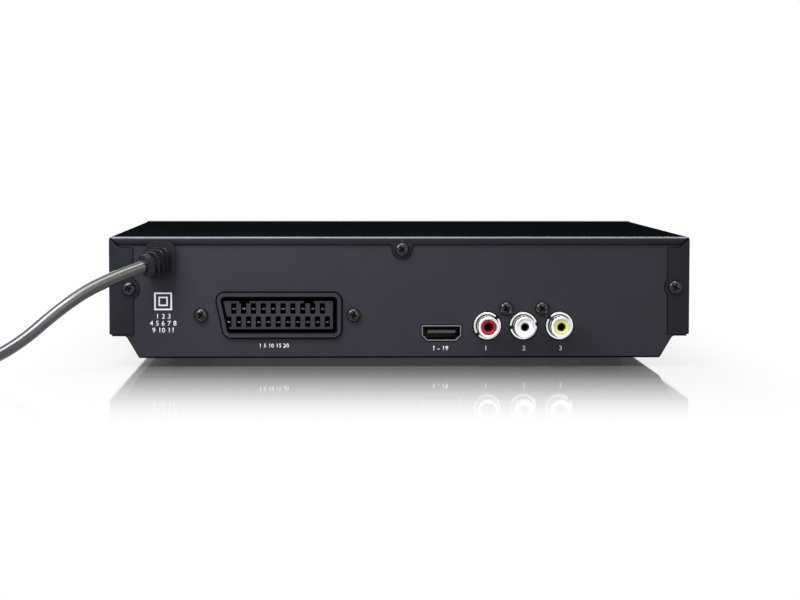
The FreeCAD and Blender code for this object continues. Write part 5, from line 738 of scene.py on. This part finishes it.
class BuildCord(bpy.types.Operator):
    """Lays the mains cord: its run from the case, the coil and the last bend to the plug"""

    bl_idname = "player.build_cord"
    bl_label = "Mains Cord"

    def execute(self, context):
        cord = settings("player_cord")
        curve = bpy.data.curves.new("mains_cord", "CURVE")
        curve.dimensions = "3D"
        points = self.route()
        line = curve.splines.new("NURBS")
        line.points.add(len(points) - 1)
        for point, place in zip(line.points, points):
            point.co = (*place, 1)
        line.order_u = 3
        line.use_endpoint_u = True
        line.resolution_u = 6
        curve.bevel_depth = cord.diameter / 2
        curve.bevel_resolution = 5
        curve.use_fill_caps = True
        sleeve = bpy.data.objects.new("mains_cord", curve)
        context.scene.collection.objects.link(sleeve)
        put(sleeve, "case", "cord_sleeve", "cord_pvc", "power_cord", "cord_coil")
        strap = put(dressed("cord_tie", 0.2), "case", "tie_plastic", "strap_nylon", "cord_tie")
        plug = put(dressed("mains_plug", 1.2, 50), "case", "plug_plastic", "plug_pvc", "mains_plug")
        pins = self.build_pins()
        return {"FINISHED"}

    def route(self):
        """Control points: the hanging run, the flat turns out and back, and the tail to the plug."""
        start, way = Vector(CORD_EXIT), Vector(CORD_WAY)
        points = [start, start + way * CORD_START * MM]
        points += [Vector(point) * MM for point in CORD_RUN]
        first = (coil_point(0.001) - coil_point(0)).normalized()
        points += [coil_point(0) - first * back * MM for back in LEAD_IN]
        count = round(COIL_TURNS * COIL_STEPS)
        points += [coil_point(number * COIL_TURNS / count) for number in range(count + 1)]
        last = (coil_point(COIL_TURNS) - coil_point(COIL_TURNS - 0.001)).normalized()
        leave = coil_point(COIL_TURNS) + last * LEAD_OUT * MM
        down = Vector((0, 0, PLUG_LEVEL - leave.z))
        points += [leave, leave + last * TAIL_FLAT * MM]
        return points + [leave + last * reach * MM + down for reach in TAIL_LOWERED]

    def build_pins(self):
        """Round pins with a rounded tip and a sleeve over the half next to the plug."""
        metal = turned_part("pin_metal", [
            (0.2, PIN_LENGTH), (1.2, PIN_LENGTH - 0.15), (1.75, PIN_LENGTH - 0.7),
            (PIN_RADIUS, PIN_LENGTH - 1.6), (PIN_RADIUS, PIN_BARE_FROM), (1.7, PIN_BARE_FROM - 0.1),
            (1.7, 0)], 32)
        sleeve = turned_part("pin_sleeve", [
            (1.7, PIN_BARE_FROM), (PIN_RADIUS, PIN_BARE_FROM - 0.3), (PIN_RADIUS, 0), (0.2, 0)], 32)
        turn = PLUG_WAY.to_track_quat("Z", "Y").to_matrix().to_4x4()
        foot = middle_of("plug_pins") - PLUG_WAY * PIN_LENGTH * MM / 2
        across = Vector((-PLUG_WAY.y, PLUG_WAY.x, 0)) * PIN_OFFSET * MM
        places = [Matrix.Translation(foot + across * side) @ turn for side in (-1, 1)]
        pins = smooth(repeated(metal, "plug_pins_metal", places))
        sleeves = smooth(repeated(sleeve, "plug_pins_sleeves", places))
        put(pins, "case", "pin_brass", "nickel_plated_brass", "plug_pins")
        put(sleeves, "case", "plug_plastic", "plug_pvc")
        return pins, sleeves


class BuildStrainRelief(bpy.types.Operator):
    """Rounds the moulded strain relief that holds the cord in the panel"""

    bl_idname = "player.build_strain_relief"
    bl_label = "Strain Relief"

    def execute(self, context):
        put(dressed("cord_grommet", 0.22, 30), "case", "cord_sleeve", "relief_pvc", "cord_grommet")
        return {"FINISHED"}


class BuildCase(bpy.types.Operator):
    """Finishes the folded cover, the panels, the front and the feet"""

    bl_idname = "player.build_case"
    bl_label = "Case"

    def execute(self, context):
        for node, body, slot, rounding in CASE_SKINS:
            skin = put(dressed(node, rounding), body, slot, NODE_FINISH[node], node)
            if node == "top_cover":
                self.finish_folds(skin)
            if node == "rear_panel":
                self.turn_under(skin)
        # Painted shadow: a black line round the flanges, where they meet the panel
        shadow_line_cord("cover_seal", "top_cover", 0.3, BACK + 0.75 * MM)
        corners = [self.corner_foam(side) for side in (-1, 1)]
        put(joined("corner_foam", corners), "case", "panel_paint", "closed_cell_foam")
        return {"FINISHED"}

    def turn_under(self, panel):
        """The sheet's lower edge is bent under the case, so it turns away from the light; its downward
        faces are painted near-black as painted shade.
        """
        start_edit(panel, "EDGE")
        pick(panel, "edges", lambda middle, way: (
            middle.z < CASE_BOTTOM + 0.01 * MM and middle.y > BACK - 0.01 * MM and abs(way.x) > 0.99))
        bpy.ops.mesh.bevel(offset=LOWER_BEND * MM, segments=4, affect="EDGES")
        end_edit()
        # Painted shade on the downward faces of the lower bend
        refinish(panel, "edge_paint", lambda middle, normal: normal.z < -0.15 and abs(normal.x) < 0.5)
        shade(panel)

    def corner_foam(self, side):
        """A black strip behind the open mitre of the cover's flanges: painted shade in the gap."""
        strip = block("foam", (-1.6, 0, -0.5), (1.6, 0.03, 0.5))
        place = Matrix.Translation((side * MITRE[0] * MM, BACK, MITRE[1] * MM))
        return apply_place(strip, place @ spin(-45 * side, "Y"))

    def finish_folds(self, cover):
        """Flanges and sides get a lit copy of the cover's paint, lighter and glossier than the shaded
        top, and the rear bend gets a painted highlight.
        """
        low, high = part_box("top_cover")
        # Painted light: the folds get a lighter, glossier copy of the paint
        refinish(cover, "pressed_powder_coat", lambda middle, normal: middle.z < high.z - 0.05 * MM)
        # Painted highlight on the faces of the rear bend
        refinish(cover, "burnished_bend", lambda middle, normal: (
            middle.y > high.y - 2.2 * MM and normal.y > 0.12 and normal.z > 0.58))


class BuildScrews(bpy.types.Operator):
    """Turns one pan-head screw with a cross recess and sets a copy in each hole of the back"""

    bl_idname = "player.build_screws"
    bl_label = "Screws"

    def execute(self, context):
        tall = settings("player_sockets").screw_head / MM
        head = turned_part("pan_head", [
            (0.05, tall), (0.9, tall - 0.04), (1.7, tall - 0.2), (2.3, tall - 0.55), (2.65, tall - 1.05),
            (2.78, tall - 1.55), (2.8, 0), (1.4, 0), (1.4, -4), (0.05, -4.6)], 48)
        floor = tall - CROSS_DEPTH
        for number in range(2):
            wing = block("wing", (-CROSS_REACH, -CROSS_HALF, floor), (CROSS_REACH, CROSS_HALF, tall + 1))
            start_edit(wing)
            pick(wing, "faces", lambda middle, normal: normal.z < -0.9)
            bpy.ops.transform.resize(value=(0.45, 0.6, 1), center_override=(0, 0, floor * MM))
            end_edit()
            apply_place(wing, spin(90 * number))
            carved(head, wing)
        round_off(head, 0.06, 1, 50)
        give_finish(head, "black_chromate")
        # Painted shade in the cross recess
        refinish(head, "recess_chromate", lambda middle, normal: (
            math.hypot(middle.x, middle.y) < 1.8 * MM and middle.z < (tall - 0.32) * MM))
        smooth(head)
        for name, slot, sheet, places in SCREW_SETS:
            made = []
            for number, (x, z, turn) in enumerate(places):
                made.append(copied(head, f"{name}_{number}", towards_back(x, z, sheet) @ spin(turn)))
            put(joined(f"{name}_heads", made), "case", slot, None, name)
        bpy.data.objects.remove(head)
        return {"FINISHED"}


class BuildJacks(bpy.types.Operator):
    """Turns the three round jacks: notched shell, coloured ring and split contact"""

    bl_idname = "player.build_jacks"
    bl_label = "Round Jacks"

    def execute(self, context):
        shells, contacts, rings_of_shadow = [], [], []
        for colour, x, turn in JACKS:
            place = towards_back(x, JACK_HEIGHT)
            shells.append(apply_place(self.shell(turn), place))
            contacts.append(apply_place(self.contact(), place))
            # Painted shadow: a black ring round the flange, in the gap to the panel's hole
            shadow_ring = revolved("jack_seal", [(5.3, 0), (5.7, 0), (5.7, 0.1), (5.3, 0.1)])
            rings_of_shadow.append(apply_place(shadow_ring, place))
            ring = apply_place(self.ring(f"{colour}_ring_turned"), place)
            put(ring, "case", f"{colour}_plastic", f"{colour}_abs", f"{colour}_jack_ring")
        put(smooth(joined("jack_shells_turned", shells)), "case", "nickel", None, "jack_shells")
        put(smooth(joined("jack_contacts", contacts)), "case", "nickel", "gold_flash")
        put(smooth(joined("jack_seals", rings_of_shadow)), "case", "socket_plastic", "closed_cell_foam")
        return {"FINISHED"}

    def shell(self, turn):
        """Shell with a rolled lip; two notches in its flange hold it while it is pressed in."""
        shell = revolved("jack_shell", [
            (3.3, -0.8), (5.35, -0.8), (5.35, 0.42), (5.2, 0.6), (4.6, 0.6), (4.5, 0.5), (4.5, -0.3),
            (4.15, -0.3), (4.15, 2.3), (3.85, 2.4), (3.85, 2.75), (4.15, 2.85), (4.15, 8.9), (4.05, 9.3),
            (3.8, 9.5), (3.3, 9.45), (3.1, 9.3), (3.05, 9.0), (3.05, 8.6), (3.3, 8.5)])
        give_finish(shell, "nickel_plate")
        # Painted shade in the groove and in the gap inside the flange
        refinish(shell, "grooved_nickel", lambda middle, normal: self.in_groove(
            math.hypot(middle.x, middle.y) / MM, middle.z / MM))
        for side in (turn, turn + 180):
            notch = block("notch", (4.45, -0.7, -0.9), (5.6, 0.7, 0.8))
            apply_place(notch, spin(side))
            carved(shell, notch)
        return shell

    def in_groove(self, radius, level):
        """Whether a place lies in the shell's crimped groove or in the gap inside its flange."""
        return (radius < 4.1 and 2.3 < level < 2.85) or (4.1 < radius < 4.55 and level < 0.5)

    def ring(self, name):
        return smooth(revolved(name, [
            (1.65, -0.8), (3.3, -0.8), (3.3, 8.4), (3.05, 8.5), (3.05, 8.85), (2.95, 9.0), (2.3, 9.0),
            (1.95, 8.92), (1.72, 8.7), (1.65, 8.4)]))

    def contact(self):
        """Spring contact, split lengthways, that grips the plug's centre pin."""
        tube = revolved("jack_contact", [
            (1.2, -0.6), (1.6, -0.6), (1.6, 5.4), (1.52, 6.9), (1.35, 7.2), (1.15, 7.0), (1.1, 5.4)], 24)
        slit = block("slit", (-2, -0.16, 2), (2, 0.16, 8))
        return carved(tube, slit)


class BuildScart(bpy.types.Operator):
    """Rounds the slanted socket and sets a sprung contact in each of its slots"""

    bl_idname = "player.build_scart"
    bl_label = "Slanted Socket"

    def execute(self, context):
        socket = put(dressed("scart_socket", 0.18), "case", "socket_plastic", "glass_filled_pbt",
                     "scart_socket")
        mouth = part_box("scart_socket")[1].y - RIM_HEIGHT * MM
        # Painted shade on the cavity behind the rim: moat, slots and their walls
        refinish(socket, "matt_pbt", lambda middle, normal: middle.y < mouth - 0.12 * MM)
        # Painted shadow: a black line round the rim
        shadow_line_cord("slanted_seal", "scart_socket", 0.7, mouth + 1.15 * MM)
        pitch = settings("player_sockets").contact_pitch
        across, high = SLANTED_MIDDLE
        places = [
            Matrix.Translation((across * MM + (number - (count - 1) / 2) * pitch, mouth - 1.1 * MM,
                                CASE_BOTTOM + high * MM + rise * MM))
            for rise, count in CONTACT_ROWS for number in range(count)]
        contacts = smooth(repeated(self.contact(), "socket_contacts", places))
        put(contacts, "case", "nickel", "tin_plate")
        return {"FINISHED"}

    def contact(self):
        """A leaf bowed towards the plug's blade: its crest is the bright bar across the slot."""
        leaf = block("contact_leaf", (-0.7, -5.0, 0.1), (0.7, -1.2, 0.45))
        start_edit(leaf)
        pick(leaf, "faces", lambda middle, normal: normal.y > 0.9)
        for back, rise in ((0.5, -0.12), (0.35, -0.25), (0.2, -0.35)):
            bpy.ops.mesh.extrude_region()
            bpy.ops.transform.translate(value=(0, back * MM, rise * MM))
        end_edit()
        return round_off(leaf, 0.08, 2, 40)


class BuildVideoSocket(bpy.types.Operator):
    """Rounds the flat metal socket's shell and lays the contact strips on its tongue"""

    bl_idname = "player.build_video_socket"
    bl_label = "Flat Socket"

    def execute(self, context):
        shell = put(dressed("hdmi_shell", 0.12), "case", "nickel", "stamped_nickel", "hdmi_shell")
        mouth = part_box("hdmi_shell")[1].y
        # Painted shade: the inside of the shell is given the black of the chips
        refinish(shell, "black_epoxy", lambda middle, normal: middle.y < mouth - 0.2 * MM)
        # Painted shadow: a black line round the shell
        shadow_line_cord("flat_seal", "hdmi_shell", 0.3, mouth - 0.05 * MM)
        low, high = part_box("hdmi_tongue")
        strip = round_off(block("strip", (-0.16, -6.5, -0.03), (0.16, 0, 0.03)), 0.02, 1, 40)
        x = middle_of("hdmi_tongue").x
        places = [
            Matrix.Translation((x + (number - (STRIPS - 1) / 2) * STRIP_PITCH * MM, high.y - 0.4 * MM,
                                low.z if number % 2 else high.z))
            for number in range(STRIPS)]
        put(repeated(strip, "flat_socket_contacts", places), "case", "nickel", "gold_flash")
        return {"FINISHED"}


class PrintMarks(bpy.types.Operator):
    """Prints plain numbers and nested squares on the rear panel, and signs on the keys"""

    bl_idname = "player.print_marks"
    bl_label = "Print"

    def execute(self, context):
        marks = [self.number(*mark) for mark in PANEL_NUMBERS]
        marks += [self.square(*SQUARES_MIDDLE, size, line) for size, line in SQUARES]
        put(joined("panel_print", marks), "case", "panel_paint", "screen_ink")
        self.print_key("play_button", [self.polygon(3, 1.5, -90)])
        self.print_key("stop_button", [self.polygon(4, 1.35, 45)])
        self.print_key("eject_button", [
            self.polygon(3, 1.25, 0, 0.35), self.bar(2.1, 0.42, -1.05)])
        self.print_key("power_button", [self.power_ring(), self.bar(0.4, 1.7, 1.0)])
        return {"FINISHED"}

    def number(self, text, x, z, tall):
        """Small figures, drawn flat, made a mesh and stood on the panel."""
        deselect_all()
        bpy.ops.object.text_add()
        words = bpy.context.object
        words.data.body = text
        words.data.align_x = "CENTER"
        words.data.align_y = "CENTER"
        words.data.size = tall * TYPE_SIZE * MM
        words.data.space_character = 1.06
        words.data.offset = 0.03 * MM
        words.data.resolution_u = 3
        bpy.ops.object.convert(target="MESH")
        return self.stand(named("figures"), x * MM, CASE_BOTTOM + z * MM)

    def square(self, x, z, size, line):
        square = self.rim(started("square", "plane", size=size * MM), line)
        return self.stand(square, x * MM, CASE_BOTTOM + z * MM)

    def rim(self, shape, line):
        """Keeps only the outer line of a flat shape."""
        start_edit(shape)
        bpy.ops.mesh.inset(thickness=line * MM, depth=0)
        bpy.ops.mesh.delete(type="FACE")
        end_edit()
        return shape

    def stand(self, flat, x, z, y=BACK, turn=180):
        """Gives a flat mark the ink's thickness and turns it up on to its face."""
        apply_place(flat, Matrix.Translation((x, y, z)) @ spin(turn) @ spin(90, "X"))
        return add_modifier(flat, "SOLIDIFY", thickness=INK * MM, offset=1)

    def polygon(self, sides, radius, turn, rise=0.0):
        sign = started("sign", "circle", vertices=sides, radius=radius * MM, fill_type="NGON")
        return apply_place(sign, Matrix.Translation((0, rise * MM, 0)) @ spin(turn))

    def bar(self, wide, tall, rise):
        bar = started("bar", "plane", size=MM, location=(0, rise * MM, 0))
        start_edit(bar)
        bpy.ops.transform.resize(value=(wide, tall, 1), center_override=(0, 0, 0))
        end_edit()
        return apply_place(bar)

    def power_ring(self):
        """A circle's outer line, open behind the bar."""
        ring = self.rim(started("ring", "circle", vertices=48, radius=1.9 * MM, fill_type="NGON"), 0.42)
        start_edit(ring)
        pick(ring, "faces", lambda middle, normal: middle.y > 1.2 * MM)
        bpy.ops.mesh.delete(type="FACE")
        end_edit()
        return ring

    def print_key(self, key, signs):
        middle = middle_of(key)
        sign = joined(f"{key}_sign", signs)
        self.stand(sign, middle.x, middle.z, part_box(key)[0].y, 0)
        put(sign, key, "button_plastic", "screen_ink")


class BuildStage(bpy.types.Operator):
    """Adds the pale floor, the lights and the camera"""

    bl_idname = "player.build_stage"
    bl_label = "Stage"

    def execute(self, context):
        stage = settings("player_stage")
        floor = started("floor", "plane", size=12)
        give_finish(floor, self.polished_floor(stage).name)
        self.light_world(context)
        for lamp in LAMPS:
            self.add_lamp(*lamp)
        self.add_camera(context, stage)
        return {"FINISHED"}

    def polished_floor(self, stage):
        """White polished acrylic: it mirrors the player and fades to white away from it, with a faint
        painted glow of white even under the case.
        """
        made, tree, shader = new_material(
            "polished_white_acrylic", Base_Color=linear(stage.floor_colour), Roughness=0.05, IOR=1.49,
            Coat_Weight=1.0, Coat_Roughness=0.04, Coat_IOR=1.5)
        low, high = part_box("front_panel")[0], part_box("rear_panel")[1]
        place = add_node(tree, "ShaderNodeTexCoord").outputs["Object"]
        half = (high - low) / 2 - Vector((MIRROR_INSET, MIRROR_INSET, 0)) * MM
        case = self.far_from(tree, place, (low + high) / 2, half, (4 / stage.fade, 1 / stage.fade, 0))
        coil = Vector((*COIL_MIDDLE, 0)) * MM
        round_coil = self.far_from(tree, place, coil, (0.03, 0.03, 0), (60, 60, 0))
        nearer = add_node(tree, "ShaderNodeMath", {0: case, 1: round_coil}, operation="MINIMUM")
        share = add_node(tree, "ShaderNodeMapRange", {"Value": nearer.outputs[0], "To Min": UNDER_CASE_GLOW},
                         interpolation_type="SMOOTHSTEP")
        seen = add_node(tree, "ShaderNodeMath", {0: share.outputs["Result"], 1: self.seen_rays(tree)},
                        operation="MULTIPLY")
        white = add_node(tree, "ShaderNodeEmission", {"Strength": 1.0})
        mix = add_node(tree, "ShaderNodeMixShader", {
            0: seen.outputs[0], 1: shader.outputs["BSDF"], 2: white.outputs[0]})
        output = next(n for n in tree.nodes if n.type == "OUTPUT_MATERIAL")
        tree.links.new(mix.outputs[0], output.inputs["Surface"])
        return made

    def far_from(self, tree, place, middle, half, scale):
        """How far a place on the floor lies outside a rectangle, in parts of the fade."""
        for operation, other in (("SUBTRACT", middle), ("ABSOLUTE", (0, 0, 0)), ("SUBTRACT", half),
                                 ("MAXIMUM", (0, 0, 0)), ("MULTIPLY", scale)):
            step = add_node(tree, "ShaderNodeVectorMath", {0: place, 1: other}, operation=operation)
            place = step.outputs[0]
        return add_node(tree, "ShaderNodeVectorMath", {0: place}, operation="LENGTH").outputs["Value"]

    def seen_rays(self, tree):
        """One for rays from the camera, from glossy surfaces and through clear ones."""
        path = add_node(tree, "ShaderNodeLightPath")
        seen = path.outputs["Is Camera Ray"]
        for kind in ("Is Glossy Ray", "Is Transmission Ray"):
            either = {0: seen, 1: path.outputs[kind]}
            seen = add_node(tree, "ShaderNodeMath", either, operation="MAXIMUM").outputs[0]
        return seen

    def light_world(self, context):
        world = bpy.data.worlds.new("studio")
        context.scene.world = world
        world.use_nodes = True
        tree = world.node_tree
        tree.nodes.clear()
        dim, white = (add_node(tree, "ShaderNodeBackground", {
            "Color": (1, 1, 1, 1), "Strength": strength}) for strength in (WORLD_LIGHT, 1.0))
        mix = add_node(tree, "ShaderNodeMixShader", {
            0: self.seen_rays(tree), 1: dim.outputs[0], 2: white.outputs[0]})
        add_node(tree, "ShaderNodeOutputWorld", {"Surface": mix.outputs[0]})

    def add_lamp(self, name, place, aim, size, power, colour="#ffffff"):
        """A square softbox that faces a point of the player."""
        place, aim = Vector(place), Vector(aim)
        turn = (aim - place).to_track_quat("-Z", "Y").to_euler()
        bpy.ops.object.light_add(type="AREA", location=place, rotation=turn)
        lamp = bpy.context.object
        lamp.name = name
        lamp.data.energy = power
        lamp.data.size = size
        lamp.data.color = linear(colour)[:3]

    def add_camera(self, context, stage):
        pitch, turn, roll = stage.camera_turn
        flat = math.cos(pitch)
        way = Vector((-math.sin(turn) * flat, -math.cos(turn) * flat, -math.sin(pitch)))
        turned = way.to_track_quat("-Z", "Y").to_euler()
        bpy.ops.object.camera_add(location=stage.camera_place, rotation=turned)
        camera = bpy.context.object
        camera.name = "photo_camera"
        camera.rotation_euler.rotate_axis("Z", roll)
        camera.data.lens = stage.lens
        camera.data.sensor_width = 36
        camera.data.clip_start = 0.01
        context.scene.camera = camera
        context.scene.view_settings.view_transform = "Standard"


class PlayerPanel(bpy.types.Panel):
    """Shows the player's settings and the buttons that build its pieces"""

    bl_idname = "VIEW3D_PT_disc_player"
    bl_label = "Disc Player"
    bl_space_type = "VIEW_3D"
    bl_region_type = "UI"
    bl_category = "Disc Player"

    def draw(self, context):
        for group in SETTINGS:
            box = self.layout.box()
            values = settings(group)
            for name in values.bl_rna.properties.keys():
                if name not in ("rna_type", "name"):
                    box.prop(values, name)
        for operator in OPERATORS:
            self.layout.operator(operator.bl_idname)


SETTINGS = {
    "player_case": CaseSettings,
    "player_sockets": SocketSettings,
    "player_cord": CordSettings,
    "player_stage": StageSettings,
}
OPERATORS = (
    DressNodes, BuildCord, BuildStrainRelief, BuildCase, BuildScrews, BuildJacks, BuildScart,
    BuildVideoSocket, PrintMarks, BuildStage,
)


def register():
    for kind in (*SETTINGS.values(), *OPERATORS, PlayerPanel):
        bpy.utils.register_class(kind)
    for name, kind in SETTINGS.items():
        setattr(bpy.types.Scene, name, bpy.props.PointerProperty(type=kind))


def unregister():
    for name in SETTINGS:
        delattr(bpy.types.Scene, name)
    for kind in (PlayerPanel, *reversed(OPERATORS), *SETTINGS.values()):
        bpy.utils.unregister_class(kind)


def main():
    register()
    bpy.ops.player.dress_nodes()
    bpy.ops.player.build_stage()
    bpy.ops.player.build_cord()
    bpy.ops.player.build_strain_relief()
    bpy.ops.player.build_case()
    bpy.ops.player.build_screws()
    bpy.ops.player.build_jacks()
    bpy.ops.player.build_scart()
    bpy.ops.player.build_video_socket()
    bpy.ops.player.print_marks()
    deselect_all()


if __name__ == "__main__":
    main()
